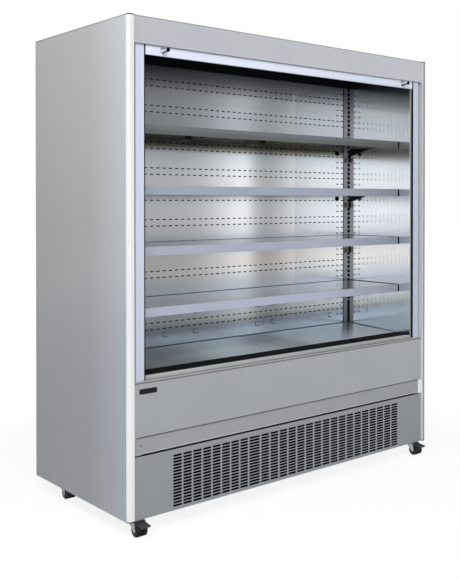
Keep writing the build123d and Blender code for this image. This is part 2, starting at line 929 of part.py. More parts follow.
tray = slab(tray_left, tray_right, tray_front, tray_back, pan_top, pan_top + tray_height)
tray = tray - slab(
    tray_left + tray_wall,
    tray_right - tray_wall,
    tray_front + tray_wall,
    tray_back - tray_wall,
    pan_top + tray_wall,
    pan_top + tray_height + seam,
)
nodes["drip_tray"] = [tray]

rear_panel = slab(-post_in, post_in, rear_panel_face, body_depth, castor_height, tub_foot)
louvres = Sketch()
louvre_foot = castor_height + (tub_foot - castor_height - louvre_pitch * (louvre_rows - 1)) / 2
for side in (-1, 1):
    for row in range(louvre_rows):
        spot = Pos(side * louvre_side, louvre_foot + row * louvre_pitch)
        louvres += spot * Rectangle(louvre_length, louvre_height)
rear_panel = rear_panel - extrude(Plane.XZ.offset(-body_depth - seam) * louvres, 4 * sheet)
gland_z = castor_height + pan_rim + 2 * gland_radius
gland = along_y(gland_radius, gland_side, gland_z, rear_panel_face - gland_reach, rear_panel_face)
gland_hole = along_y(
    gland_bore, gland_side, gland_z, rear_panel_face - gland_reach - seam, body_depth + seam
)
nodes["rear_service_panel"] = [fused(rear_panel, gland) - gland_hole]

# ---- Castors ------------------------------------------------------------------------------
# Each is drawn about its own swivel axis at (0, 0) and then set in its place. The wheels lie
# in front of the axis, as they trail when the cabinet has been pushed back to the wall.
cup_foot = castor_height - castor_plate - cup_height
crown_top = cup_foot - face_gap
crown_foot = crown_top - fork_crown
wheel_out = wheel_split / 2 + wheel_width
cheek_in = wheel_out + cheek_gap
cheek_out = cheek_in + fork_plate
pedal_y = pedal_back - castor_front


def standing(radius, z_from, z_to):
    return Pos(0, 0, z_from) * Cylinder(
        radius, z_to - z_from, align=(Align.CENTER, Align.CENTER, Align.MIN)
    )


def castor_mount():
    """Top plate, swivel cup and kingpin with the head that holds the fork."""
    plate_foot = castor_height - castor_plate
    plate = slab(
        -castor_plate_half,
        castor_plate_half,
        -castor_plate_half,
        castor_plate_half,
        plate_foot,
        castor_height,
    )
    cup = standing(cup_radius, cup_foot, plate_foot)
    pin = standing(kingpin, crown_foot - face_gap, cup_foot)
    head_top = crown_foot - face_gap
    head = standing(kingpin_head, head_top - kingpin_head_height, head_top)
    return fused(plate, cup, pin, head)


def castor_fork(with_pedal):
    """Crown under the cup, two cheeks narrowing to the axle, and the axle riveted in them."""
    crown = standing(cup_radius, crown_foot, crown_top)
    crown_front = pedal_y + pedal_barrel + 2 * face_gap
    crown = crown + slab(-cheek_out, cheek_out, crown_front, crown_back, crown_foot, crown_top)
    crown = crown - standing(kingpin + pin_clearance, crown_foot - seam, crown_top + seam)
    front = pedal_y - 2 * pedal_barrel
    cheek = across(
        (
            (crown_back, crown_top),
            (front, crown_top),
            (front, crown_foot - fork_crown),
            (-trail - axle_boss, wheel_radius),
            (-trail, wheel_radius - axle_boss / 2),
            (-trail + axle_boss, wheel_radius),
            (crown_back, crown_foot - fork_crown),
        ),
        cheek_in,
        cheek_out,
    )
    boss = along_x(axle_boss, -trail, wheel_radius, cheek_in, cheek_out)
    fork = fused(crown, *pair(fused(cheek, boss)))
    axle_half = cheek_out + axle_end
    fork = fork + along_x(axle_radius, -trail, wheel_radius, -axle_half, axle_half)
    if with_pedal:
        fork = fork - along_x(
            pedal_pin + pin_clearance, pedal_y, pedal_pivot_height, -2 * cheek_out, 2 * cheek_out
        )
    return fork


def castor_wheels():
    """Twin wheels on one hub: bevelled treads, dished outer sides, a bore for the axle."""
    bore = axle_radius + pin_clearance
    half_section = [
        (wheel_split / 2, wheel_spacer),
        (wheel_split / 2, wheel_radius),
        (wheel_out - wheel_edge, wheel_radius),
        (wheel_out, wheel_radius - wheel_edge),
        (wheel_out, wheel_radius - hub_rim),
        (wheel_out - hub_recess, bore),
    ]
    other_half = [(-x, radius) for x, radius in reversed(half_section)]
    section = Plane.XZ * make_face(Polyline(*half_section, *other_half, close=True))
    return Pos(0, -trail, wheel_radius) * revolve(section, Axis.X)


def brake_pedal():
    """Sloping tread plate with raised sides, on a barrel between the cheeks."""
    barrel_half = cheek_in - face_gap
    barrel = along_x(pedal_barrel, pedal_y, pedal_pivot_height, -barrel_half, barrel_half)
    pin_half = cheek_out
    barrel = barrel + along_x(pedal_pin, pedal_y, pedal_pivot_height, -pin_half, pin_half)
    toe_y = -pedal_front_reach - castor_front
    top = pedal_pivot_height + pedal_plate / 2
    tread = (
        (pedal_y, top),
        (toe_y, top - pedal_fall),
        (toe_y, top - pedal_fall - pedal_plate),
        (pedal_y, top - pedal_plate),
    )
    rim = (
        (pedal_y - pedal_barrel, top),
        (toe_y, top - pedal_fall + pedal_rim),
        (toe_y, top - pedal_fall - pedal_plate),
        (pedal_y - pedal_barrel, top - pedal_plate),
    )
    plate = across(tread, -pedal_width / 2, pedal_width / 2)
    side = across(rim, pedal_width / 2 - pedal_plate, pedal_width / 2)
    return fused(barrel, plate, *pair(side))


castor_places = {
    "front_left": (-castor_side, castor_front),
    "front_right": (castor_side, castor_front),
    "rear_left": (-castor_side, castor_rear),
    "rear_right": (castor_side, castor_rear),
}
nodes["castor_mounts"] = [Pos(x, y, 0) * castor_mount() for x, y in castor_places.values()]
for name, (x, y) in castor_places.items():
    braked = name.startswith("front")
    place = Pos(x, y, 0)
    nodes["fork_" + name] = [place * castor_fork(braked)]
    nodes["wheels_" + name] = [place * castor_wheels()]
    if braked:
        nodes["pedal_" + name] = [place * brake_pedal()]

# ---- Write one file for each piece --------------------------------------------------------
os.makedirs("parts", exist_ok=True)
for name, solids in nodes.items():
    group = Compound(children=[Pos(0, -middle_y, 0) * solid for solid in solids])
    export_step(group, "parts/%s.step" % name)
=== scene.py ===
from math import cos, pi, radians, sin

import bmesh
import bpy
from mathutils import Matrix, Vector


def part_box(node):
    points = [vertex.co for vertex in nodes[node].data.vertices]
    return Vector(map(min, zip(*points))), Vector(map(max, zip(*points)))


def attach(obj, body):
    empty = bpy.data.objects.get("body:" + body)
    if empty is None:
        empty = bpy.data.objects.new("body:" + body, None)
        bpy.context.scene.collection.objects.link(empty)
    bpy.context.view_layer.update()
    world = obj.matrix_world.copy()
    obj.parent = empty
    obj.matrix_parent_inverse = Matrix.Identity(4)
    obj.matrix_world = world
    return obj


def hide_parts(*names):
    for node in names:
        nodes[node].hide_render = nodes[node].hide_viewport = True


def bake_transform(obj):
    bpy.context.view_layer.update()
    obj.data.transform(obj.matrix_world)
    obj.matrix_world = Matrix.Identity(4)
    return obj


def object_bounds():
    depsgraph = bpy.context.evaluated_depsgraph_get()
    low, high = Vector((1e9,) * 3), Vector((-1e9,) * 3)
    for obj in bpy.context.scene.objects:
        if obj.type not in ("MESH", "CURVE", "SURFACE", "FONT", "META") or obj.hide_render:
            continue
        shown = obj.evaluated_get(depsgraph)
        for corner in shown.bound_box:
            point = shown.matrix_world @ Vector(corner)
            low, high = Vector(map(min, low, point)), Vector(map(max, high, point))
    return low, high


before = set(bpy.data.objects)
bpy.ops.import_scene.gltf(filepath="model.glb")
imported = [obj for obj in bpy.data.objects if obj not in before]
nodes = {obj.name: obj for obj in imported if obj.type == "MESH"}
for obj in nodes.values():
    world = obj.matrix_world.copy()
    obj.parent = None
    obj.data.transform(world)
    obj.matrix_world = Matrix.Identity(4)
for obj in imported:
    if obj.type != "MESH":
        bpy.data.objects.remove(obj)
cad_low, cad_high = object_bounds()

mm = 0.001

# ---- Camera ---------------------------------------------------------------------------------
# The viewpoint: eye height 1.28 m, off the left front corner, turned 39.5 degrees to the right.
# The lens is shifted down, so that the uprights of the cabinet stay vertical in the picture.
image_height = 580
focal_pixels = 853.9
horizon_above_middle = 80.1
eye = (-2.6343, -3.0704, 1.2786)
eye_turn = -39.54
eye_dip = 0.569


def placed(name, data, place=(0, 0, 0)):
    """A new object in the scene."""
    thing = bpy.data.objects.new(name, data)
    thing.location = place
    bpy.context.scene.collection.objects.link(thing)
    return thing


camera_data = bpy.data.cameras.new("camera")
camera_data.sensor_width = 36.0
camera_data.lens = camera_data.sensor_width * focal_pixels / image_height
camera_data.shift_y = -horizon_above_middle / image_height
camera = placed("camera", camera_data, eye)
camera.rotation_euler = (radians(90 - eye_dip), 0, radians(eye_turn))
bpy.context.scene.camera = camera
bpy.context.scene.view_settings.view_transform = "Standard"


# ---- Studio ---------------------------------------------------------------------------------
# A pale floor that keeps the shadow, one large soft lamp high at the front left, a softer one at
# the front right and a low one for the inside. Metal mirrors a studio with light and dark walls.
def soft_lamp(name, place, target, size, power):
    data = bpy.data.lights.new(name, "AREA")
    data.shape = "RECTANGLE"
    data.size, data.size_y = size
    data.energy = power
    lamp = placed(name, data, place)
    lamp.rotation_euler = (Vector(target) - Vector(place)).to_track_quat("-Z", "Y").to_euler()
    lamp.visible_glossy = False


soft_lamp("key_lamp", (-2.7, -3.0, 4.0), (-0.3, -0.3, 1.5), (2.2, 1.6), 150)
soft_lamp("fill_lamp", (3.2, -3.4, 2.4), (0.0, 0.0, 1.0), (1.6, 2.0), 9)
soft_lamp("inside_lamp", (-0.5, -3.2, 1.5), (0.1, 0.2, 1.2), (2.4, 1.0), 18)
soft_lamp("side_lamp", (-2.3, -0.6, 3.1), (-0.9, 0.0, 1.6), (1.0, 1.0), 14)


def feed(tree, socket, value):
    """Give a socket a number or a colour, or link another socket to it."""
    if isinstance(value, bpy.types.NodeSocket):
        tree.links.new(value, socket)
    else:
        socket.default_value = value


def ramp_of(tree, share, stops):
    """A colour ramp of (place, grey value) or (place, red, green, blue), read at a share."""
    ramp = tree.nodes.new("ShaderNodeValToRGB")
    for n, (place, *value) in enumerate(stops):
        if n < 2:
            stop = ramp.color_ramp.elements[n]
            stop.position = place
        else:
            stop = ramp.color_ramp.elements.new(place)
        stop.color = (value * 3)[:3] + [1.0]
    feed(tree, ramp.inputs["Fac"], share)
    return ramp.outputs["Color"]


def sum_of(tree, operation, *values):
    """A Math node fed by sockets or numbers."""
    node = tree.nodes.new("ShaderNodeMath")
    node.operation = operation
    for socket, value in zip(node.inputs, values):
        feed(tree, socket, value)
    return node.outputs[0]


def map_range(tree, value, *limits):
    """A value moved from one range to another: from low, from high, to low, to high."""
    node = tree.nodes.new("ShaderNodeMapRange")
    for socket, number in zip(node.inputs[:5], (value, *limits)):
        feed(tree, socket, number)
    return node.outputs["Result"]


def coordinate(tree, kind):
    return tree.nodes.new("ShaderNodeTexCoord").outputs[kind]


def mixed(tree, last, choices):
    """Mix shaders in one after the other, each where its own factor picks it."""
    for picked, shown in choices:
        mix = tree.nodes.new("ShaderNodeMixShader")
        for socket, source in zip(mix.inputs, (picked, last, shown)):
            feed(tree, socket, source)
        last = mix.outputs[0]
    return last


# The walls of the studio as metal mirrors them. Degrees to the right of straight ahead of the
# cabinet, all round and finer for the part ahead, then degrees above eye level, with brightness.
STUDIO_ROUND = (
    (-179.9, 0.3), (-154, 0.3), (-147, 1.0), (-120, 1.0), (-70, 0.7), (-58, 0.9), (58, 0.9),
    (66, 0.25), (120, 0.25), (179.9, 0.3),
)
STUDIO_AHEAD = (
    (-60, 1.0), (-46.6, 1.0), (-45.7, 0.93), (-44.8, 0.82), (-43.8, 0.67), (-43, 0.6), (-34, 0.85),
    (-10, 0.75), (20, 0.55), (31, 0.39), (36.2, 0.42), (37.6, 0.48), (38.9, 0.65), (39.8, 0.81),
    (40.5, 0.93), (40.8, 0.87), (41.2, 0.51), (41.7, 0.38), (42.1, 0.38), (43, 0.49), (43.8, 0.67),
    (44.8, 0.82), (46.6, 1.0), (60, 1.0),
)
STUDIO_UP = (
    (-89.9, 0.36, 0.4, 0.44), (-16, 0.3, 0.34, 0.38), (-9, 0.38, 0.45, 0.54), (-7, 0.6, 0.63, 0.68),
    (-4.5, 0.93, 0.93, 0.95), (0, 1.0, 1.0, 1.0), (12, 1.0, 1.0, 1.0), (30, 0.75, 0.75, 0.76),
    (89.9, 0.8, 0.8, 0.8),
)
STUDIO_GLOW = 1.48
world = bpy.data.worlds.new("surround")
bpy.context.scene.world = world
world.use_nodes = True
world_tree = world.node_tree
world_tree.nodes.clear()
world_way = world_tree.nodes.new("ShaderNodeSeparateXYZ")
feed(world_tree, world_way.inputs[0], coordinate(world_tree, "Generated"))
world_ahead = sum_of(world_tree, "MULTIPLY", world_way.outputs["Y"], -1.0)
world_turn = sum_of(world_tree, "ARCTAN2", world_way.outputs["X"], world_ahead)
world_rise = sum_of(world_tree, "ARCSINE", world_way.outputs["Z"])
world_walls = []
for angle, turn_range, stops in (
    (world_turn, 2 * pi, STUDIO_ROUND),
    (world_turn, radians(120), STUDIO_AHEAD),
    (world_rise, pi, STUDIO_UP),
):
    share = sum_of(world_tree, "MULTIPLY_ADD", angle, 1 / turn_range, 0.5)
    stops = [(0.5 + radians(degrees) / turn_range, *value) for degrees, *value in stops]
    world_walls.append(ramp_of(world_tree, share, stops))


def background(colour, strength):
    node = world_tree.nodes.new("ShaderNodeBackground")
    feed(world_tree, node.inputs["Color"], colour)
    feed(world_tree, node.inputs["Strength"], strength)
    return node.outputs[0]


# Plain light from all sides, the mirrored walls for glossy rays, and white for the camera.
world_path = world_tree.nodes.new("ShaderNodeLightPath").outputs
world_turned = sum_of(world_tree, "MULTIPLY", world_walls[0], world_walls[1])
world_glow = sum_of(world_tree, "MULTIPLY", world_turned, STUDIO_GLOW)
world_view = sum_of(
    world_tree, "MAXIMUM", world_path["Is Camera Ray"], world_path["Is Transmission Ray"]
)
world_last = mixed(
    world_tree,
    background((0.97, 0.985, 1.0, 1), 0.28),
    (
        (world_path["Is Glossy Ray"], background(world_walls[2], world_glow)),
        (world_view, background((1, 1, 1, 1), 1.0)),
    ),
)
feed(world_tree, world_tree.nodes.new("ShaderNodeOutputWorld").inputs["Surface"], world_last)

floor_half = 30.0
floor_mesh = bpy.data.meshes.new("floor")
floor_mesh.from_pydata(
    [(x * floor_half, y * floor_half, 0) for x, y in ((-1, -1), (1, -1), (1, 1), (-1, 1))],
    [],
    [(0, 1, 2, 3)],
)
floor = placed("floor", floor_mesh)
floor_paint = bpy.data.materials.new("pale_floor")
floor_paint.use_nodes = True
floor_tree = floor_paint.node_tree
floor_surface = floor_tree.nodes["Principled BSDF"]
floor_surface.inputs["Base Color"].default_value = (0.86, 0.86, 0.86, 1)
floor_surface.inputs["Roughness"].default_value = 0.8
floor_glow = floor_tree.nodes.new("ShaderNodeEmission")
floor_glow.inputs["Strength"].default_value = 1.08
floor_path = floor_tree.nodes.new("ShaderNodeLightPath").outputs
# Near the cabinet the floor shows its shadow, farther out it runs into the white surround.
floor_reach = floor_tree.nodes.new("ShaderNodeVectorMath")
floor_reach.operation = "LENGTH"
feed(floor_tree, floor_reach.inputs[0], coordinate(floor_tree, "Object"))
floor_fade = map_range(floor_tree, floor_reach.outputs["Value"], 1.2, 2.4, 0.8, 1.0)
floor_share = sum_of(floor_tree, "MULTIPLY", floor_path["Is Camera Ray"], floor_fade)
floor_clear = floor_tree.nodes.new("ShaderNodeBsdfTransparent")
floor_last = mixed(
    floor_tree,
    floor_surface.outputs[0],
    ((floor_share, floor_glow.outputs[0]), (floor_path["Is Glossy Ray"], floor_clear.outputs[0])),
)
feed(floor_tree, floor_tree.nodes["Material Output"].inputs["Surface"], floor_last)
floor_mesh.materials.append(floor_paint)


# ---- Side panels ----------------------------------------------------------------------------
# Foamed panels with a skin of grey coated steel, folded round the edges and screwed to the
# carcass from behind. The coating is satin with a faint vertical drawing grain.
def srgb(red, green, blue):
    """A colour given as it is seen on a screen, 0 to 255."""
    parts = [value / 255 for value in (red, green, blue)]
    return [p / 12.92 if p <= 0.04045 else ((p + 0.055) / 1.055) ** 2.4 for p in parts] + [1.0]


def shader_group(name, ins, outs):
    """A node group with float or vector inputs and float outputs."""
    group = bpy.data.node_groups.new(name, "ShaderNodeTree")
    for label, kind, value in ins:
        socket = group.interface.new_socket(label, in_out="INPUT", socket_type=kind)
        socket.default_value = value
    for label in outs:
        group.interface.new_socket(label, in_out="OUTPUT", socket_type="NodeSocketFloat")
    start = group.nodes.new("NodeGroupInput")
    end = group.nodes.new("NodeGroupOutput")
    return group, start, end


# Fine parallel scratches left by rolling or brushing: noise drawn out along one direction.
grain_group, grain_in, grain_out = shader_group(
    "drawn_grain",
    (("Stretch", "NodeSocketVector", (1, 1, 1)), ("Detail", "NodeSocketFloat", 3.0)),
    ("Grain",),
)
grain_scale = grain_group.nodes.new("ShaderNodeVectorMath")
grain_scale.operation = "MULTIPLY"
grain_noise = grain_group.nodes.new("ShaderNodeTexNoise")
for socket, source in (
    (grain_scale.inputs[0], coordinate(grain_group, "Object")),
    (grain_scale.inputs[1], grain_in.outputs["Stretch"]),
    (grain_noise.inputs["Scale"], 1.0),
    (grain_noise.inputs["Vector"], grain_scale.outputs[0]),
    (grain_noise.inputs["Detail"], grain_in.outputs["Detail"]),
    (grain_out.inputs["Grain"], grain_noise.outputs["Fac"]),
):
    feed(grain_group, socket, source)

# Slow changes of tone over a surface: handling marks, uneven coating.
tone_group, tone_in, tone_out = shader_group(
    "slow_tone",
    (("Size", "NodeSocketFloat", 3.0), ("Sharpness", "NodeSocketFloat", 0.5)),
    ("Tone",),
)
tone_noise = tone_group.nodes.new("ShaderNodeTexNoise")
for socket, source in (
    (tone_noise.inputs["Detail"], 4.0),
    (tone_noise.inputs["Vector"], coordinate(tone_group, "Object")),
    (tone_noise.inputs["Scale"], tone_in.outputs["Size"]),
    (tone_noise.inputs["Roughness"], tone_in.outputs["Sharpness"]),
    (tone_out.inputs["Tone"], tone_noise.outputs["Fac"]),
):
    feed(tone_group, socket, source)

ACROSS_X = (3.0, 900.0, 900.0)
UP_Z = (900.0, 900.0, 3.0)
EVEN = (1400.0, 1400.0, 1400.0)
grain_depth = 0.4 * mm


def surface_of(material):
    return material.node_tree.nodes["Principled BSDF"].inputs


def finish_of(name, light, dark, rough, spread, metallic=0.0, stretch=EVEN, bump=0.05, tone=2.5):
    """A surface whose colour moves between two tones, with a grain in roughness and relief."""
    material = bpy.data.materials.new(name)
    material.use_nodes = True
    tree = material.node_tree
    grain = tree.nodes.new("ShaderNodeGroup")
    grain.node_tree = grain_group
    slow = tree.nodes.new("ShaderNodeGroup")
    slow.node_tree = tone_group
    relief = tree.nodes.new("ShaderNodeBump")
    grained = grain.outputs["Grain"]
    for socket, source in (
        (grain.inputs["Stretch"], stretch),
        (slow.inputs["Size"], tone),
        (relief.inputs["Strength"], bump),
        (relief.inputs["Distance"], grain_depth),
        (relief.inputs["Height"], grained),
    ):
        feed(tree, socket, source)
    for label, source in (
        ("Base Color", ramp_of(tree, slow.outputs["Tone"], ((0.36, *dark), (0.64, *light)))),
        ("Metallic", metallic),
        ("Roughness", map_range(tree, grained, 0.3, 0.7, rough - spread, rough + spread)),
        ("Normal", relief.outputs["Normal"]),
    ):
        feed(tree, surface_of(material)[label], source)
    return material


def tint_over(material, factor, tint, blend_type):
    """Blend a tint over the colour that a surface has so far."""
    tree = material.node_tree
    colour = surface_of(material)["Base Color"]
    blend = tree.nodes.new("ShaderNodeMix")
    blend.data_type = "RGBA"
    blend.blend_type = blend_type
    feed(tree, blend.inputs["Factor"], factor)
    feed(tree, blend.inputs[6], colour.links[0].from_socket)
    feed(tree, blend.inputs[7], tint)
    feed(tree, colour, blend.outputs[2])


def split_of(tree, kind, axis):
    split = tree.nodes.new("ShaderNodeSeparateXYZ")
    feed(tree, split.inputs[0], coordinate(tree, kind))
    return split.outputs[axis]


def along(material, axis, stops):
    """Multiply the colour by shares that change along X, Y or Z: (mm, share) or (mm, r, g, b)."""
    tree = material.node_tree
    start, end = stops[0][0], stops[-1][0]
    share = map_range(tree, split_of(tree, "Object", axis), start * mm, end * mm, 0, 1)
    stops = [((at - start) / (end - start), *value) for at, *value in stops]
    tint_over(material, 1.0, ramp_of(tree, share, stops), "MULTIPLY")


def facing(material, axis, sign, limit, tint):
    """Another colour on the faces that look along an axis."""
    tree = material.node_tree
    limits = (sign * limit, sign * min(limit + 0.1, 1.0), 0, 1)
    mask = map_range(tree, split_of(tree, "Normal", axis), *limits)
    tint_over(material, mask, tint, "MIX")
    return mask


def round_edges(piece, width, steps=2):
    soft = piece.modifiers.new("edge", "BEVEL")
    soft.width = width
    soft.segments = steps
    soft.limit_method = "ANGLE"
    soft.angle_limit = radians(40)
    soft.harden_normals = True


weld_reach = 0.02 * mm


def dress(names, material, edge=0.0, steps=2):
    """Give carried-over nodes their finish, and a small round on their edges."""
    for name in [names] if isinstance(names, str) else names:
        piece = nodes[name]
        piece.data.materials.clear()
        piece.data.materials.append(material)
        if edge:
            piece.modifiers.new("weld", "WELD").merge_threshold = weld_reach
            round_edges(piece, edge, steps)


side_steel = finish_of(
    "side_steel", srgb(211, 210, 217), srgb(209, 208, 215), 0.26, 0.01, 0.4, UP_Z, 0.004
)
# Painted highlight: the skin is painted brighter and bluer near the front edge; further back it is
# painted darker and warmer, painted shade.
along(
    side_steel,
    "Y",
    (
        (-346, 0.87, 0.97, 1.0), (-250, 0.88, 0.89, 0.87), (-80, 0.78, 0.78, 0.74),
        (389, 0.82, 0.82, 0.76),
    ),
)
# The skin is painted darker from the foot up to mid height, painted shade. The cut edge of the skin
# shows as a thin dark line along the top.
along(
    side_steel,
    "Z",
    ((65, 1.0), (500, 0.95), (1200, 0.8), (1980, 0.87), (1980.8, 0.4), (1984, 0.4)),
)
facing(side_steel, "Z", 1, 0.5, srgb(176, 178, 182))
dress(("side_panel_left", "side_panel_right"), side_steel, 0.8 * mm)


# ---- Corner posts and their caps ------------------------------------------------------------
# Bright satin extrusions that close the front edges of the side panels: a round nose, a flat
# band and a deep return towards the opening. Black moulded caps close both ends.
def mesh_of(name, shape, material):
    mesh = bpy.data.meshes.new(name)
    shape.to_mesh(mesh)
    shape.free()
    mesh.materials.append(material)
    mesh.shade_smooth()
    return mesh


def new_piece(name, shape, material, body, replaced=()):
    """Turn a bmesh into a piece that rides on a body."""
    bmesh.ops.recalc_face_normals(shape, faces=shape.faces)
    piece = placed(name, mesh_of(name, shape, material))
    piece.data.set_sharp_from_angle(angle=radians(35))
    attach(piece, body)
    if replaced:
        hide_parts(*replaced)
    return piece


def in_space(axis, first, second, place):
    """A point at a place on an axis, with its other two coordinates in their order."""
    point = [first, second]
    point.insert("xyz".index(axis), place)
    return point


def drawn(shape, outline, axis, start, end):
    """A closed outline drawn out along an axis. Outline points lie in the other two axes."""
    near, far = [
        [shape.verts.new(in_space(axis, *point, place)) for point in outline]
        for place in (start, end)
    ]
    shape.faces.new(near)
    shape.faces.new(far)
    for n in range(len(outline)):
        shape.faces.new((near[n - 1], near[n], far[n], far[n - 1]))


post_low, post_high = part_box("corner_posts")
post_white = finish_of(
    "post_white", srgb(252, 252, 252), srgb(249, 249, 249), 0.3, 0.02, 0.2, UP_Z, 0.01
)
# Painted shade: the posts are painted darker towards the top.
along(post_white, "Z", ((65, 1.0), (500, 0.94), (900, 0.83), (1984, 0.71)))
# The front of the right post is painted darker, a painted reflection of the dark end of the studio;
# its return stays bright.
along(post_white, "X", ((-893, 1.0), (0, 1.0), (865.0, 1.0), (866.0, 0.42), (893, 0.42)))
cap_black = finish_of("cap_black", srgb(40, 40, 42), srgb(30, 30, 32), 0.5, 0.1, 0.0, EVEN, 0.2)
post_face = 27.8 * mm
post_nose = 15.0 * mm
tongue = 15.0 * mm
nose_steps = 12


def post_outline(side):
    """Seen from above, from the end of the nose round to the return and the hidden tongue."""
    outer = side * cad_high.x
    inner = outer - side * post_face
    front = post_low.y
    points = []
    for n in range(nose_steps + 1):
        turn = pi / 2 * n / nose_steps
        points.append(
            (outer - side * post_nose * (1 - cos(turn)), front + post_nose * (1 - sin(turn)))
        )
    points += [
        (inner, front),
        (inner, post_high.y),
        (inner + side * tongue, post_high.y),
        (inner + side * tongue, front + post_nose + 0.4 * mm),
        (outer, front + post_nose + 0.4 * mm),
    ]
    return points


post_shape = bmesh.new()
for side in (-1, 1):
    drawn(post_shape, post_outline(side), "z", post_low.z, post_high.z)
corner_post_pair = new_piece(
    "corner_post_pair", post_shape, post_white, "cabinet", ("corner_posts",)
)
cap_low, cap_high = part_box("post_caps")
cap_shape = bmesh.new()
for side in (-1, 1):
    for flat, outer_end in ((post_high.z, cap_high.z), (post_low.z, cap_low.z)):
        drawn(cap_shape, post_outline(side), "z", flat, outer_end)
new_piece("post_cap_set", cap_shape, cap_black, "cabinet", ("post_caps",))

# ---- Canopy, fascia and strip ---------------------------------------------------------------
# Folded panels of satin coated steel. The canopy hides the blind roller, the fascia closes the
# front of the tub, and the strip between them and the air inlet is held by two screws.
# Painted shade: each panel has a darker tone the lower it sits, and each is painted darker towards
# its left end.
panel_tones_and_painted_shade = (
    ("canopy_panel", (202, 203, 209), ((-864, 0.8), (0, 0.88), (864, 1.0))),
    ("fascia_panel", (187, 190, 193), ((-864, 0.87), (0, 0.94), (864, 1.0))),
    ("strip_panel", (176, 178, 180), ((-864, 0.96), (864, 1.0))),
    ("grille_panel", (165, 168, 170), ((-864, 0.97), (864, 1.0))),
)
panel_steels = {}
for node, (red, green, blue), stops in panel_tones_and_painted_shade:
    dark = srgb(red - 4, green - 4, blue - 3)
    steel = finish_of(
        node + "_steel", srgb(red, green, blue), dark, 0.4, 0.03, 0.3, ACROSS_X, 0.02
    )
    along(steel, "X", stops)
    if node == "canopy_panel":
        along(steel, "Z", ((1800, 1.0), (1980, 1.0), (1980.8, 0.45), (1984, 0.45)))
        facing(steel, "Z", 1, 0.5, srgb(176, 178, 182))
    panel_steels[node] = steel
    if node != "grille_panel":
        dress(node, steel, 0.6 * mm)
screw_steel = finish_of("screw_steel", srgb(190, 192, 196), srgb(170, 172, 176), 0.3, 0.08, 0.9)
dress("panel_screws", screw_steel, 0.8 * mm, 3)
badge_black = finish_of("badge_black", srgb(26, 26, 28), srgb(20, 20, 22), 0.2, 0.04)
badge_lift = Vector((0, 0, 8 * mm))
badge_low, badge_high = (Vector(corner) + badge_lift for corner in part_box("badge_plate"))
badge_round = 5.0 * mm
badge_outline = []
for across, up, first in (
    (badge_high.x - badge_round, badge_high.z - badge_round, 0),
    (badge_low.x + badge_round, badge_high.z - badge_round, 1),
    (badge_low.x + badge_round, badge_low.z + badge_round, 2),
    (badge_high.x - badge_round, badge_low.z + badge_round, 3),
):
    for n in range(7):
        turn = pi / 2 * (first + n / 6)
        badge_outline.append((across + badge_round * cos(turn), up + badge_round * sin(turn)))
badge_shape = bmesh.new()
drawn(badge_shape, badge_outline, "y", badge_low.y, badge_high.y)
badge = new_piece("badge", badge_shape, badge_black, "cabinet", ("badge_plate",))
round_edges(badge, 0.5 * mm, 3)


# ---- Air inlet panel ------------------------------------------------------------------------
# The lower front panel: 17 rows of round-ended slots punched in 26 columns, through which the
# condenser draws its air.
def halfway(spans, first, last):
    """Cell borders: both outer ends, and the middles between neighbouring spans."""
    middles = [(before[1] + after[0]) / 2 for before, after in zip(spans, spans[1:])]
    return [first, *middles, last]


def pierced(shape, axis, u_spans, v_spans, low, high, ends, opened=lambda i, j: True):
    """A plate square to an axis, from one corner to the other, divided into cells. Each cell has
    a round-ended slot, as long as its u span and as high as its v span, if opened(i, j) says so."""
    depth_at = "xyz".index(axis)
    u_at, v_at = (n for n in range(3) if n != depth_at)
    front, back = low[depth_at], high[depth_at]
    u_lines = halfway(u_spans, low[u_at], high[u_at])
    v_lines = halfway(v_spans, low[v_at], high[v_at])
    cache = {}

    def vertex(u, v, depth):
        key = (round(u, 7), round(v, 7), depth)
        if key not in cache:
            cache[key] = shape.verts.new(in_space(axis, u, v, depth))
        return cache[key]

    def rim(p, q):
        """The narrow face between front and back, from one point to the next."""
        shape.faces.new(
            (vertex(*p, front), vertex(*q, front), vertex(*q, back), vertex(*p, back))
        )

    for i, (ua, ub) in enumerate(zip(u_lines, u_lines[1:])):
        for v in (v_lines[0], v_lines[-1]):
            rim((ua, v), (ub, v))
        for j, (va, vb) in enumerate(zip(v_lines, v_lines[1:])):
            flats = [((ua, va), (ub, va), (ub, vb), (ua, vb))]
            if opened(i, j):
                (u0, u1), (v0, v1) = u_spans[i], v_spans[j]
                radius = (v1 - v0) / 2
                middle = (v0 + v1) / 2
                right, left = [], []
                for n in range(ends + 1):
                    turn = pi * n / ends - pi / 2
                    right.append((u1 - radius + radius * cos(turn), middle + radius * sin(turn)))
                    left.append((u0 + radius - radius * cos(turn), middle - radius * sin(turn)))
                flats = (
                    ((ua, va), (ub, va), right[0], left[-1]),
                    ((ub, va), (ub, vb), *right[::-1]),
                    ((ub, vb), (ua, vb), left[0], right[-1]),
                    ((ua, vb), (ua, va), *left[::-1]),
                )
                loop = right + left
                for n in range(len(loop)):
                    rim(loop[n - 1], loop[n])
            for flat in flats:
                for depth in (front, back):
                    shape.faces.new([vertex(u, v, depth) for u, v in flat])
    for va, vb in zip(v_lines, v_lines[1:]):
        for u in (u_lines[0], u_lines[-1]):
            rim((u, va), (u, vb))


def bar(shape, x_from, x_to, y_from, y_to, z_from, z_to):
    """A straight bar with its edges along the axes."""
    outline = ((x_from, y_from), (x_to, y_from), (x_to, y_to), (x_from, y_to))
    drawn(shape, outline, "z", z_from, z_to)


def spans_of(first, pitch, length, count):
    return [(first + n * pitch, first + n * pitch + length) for n in range(count)]


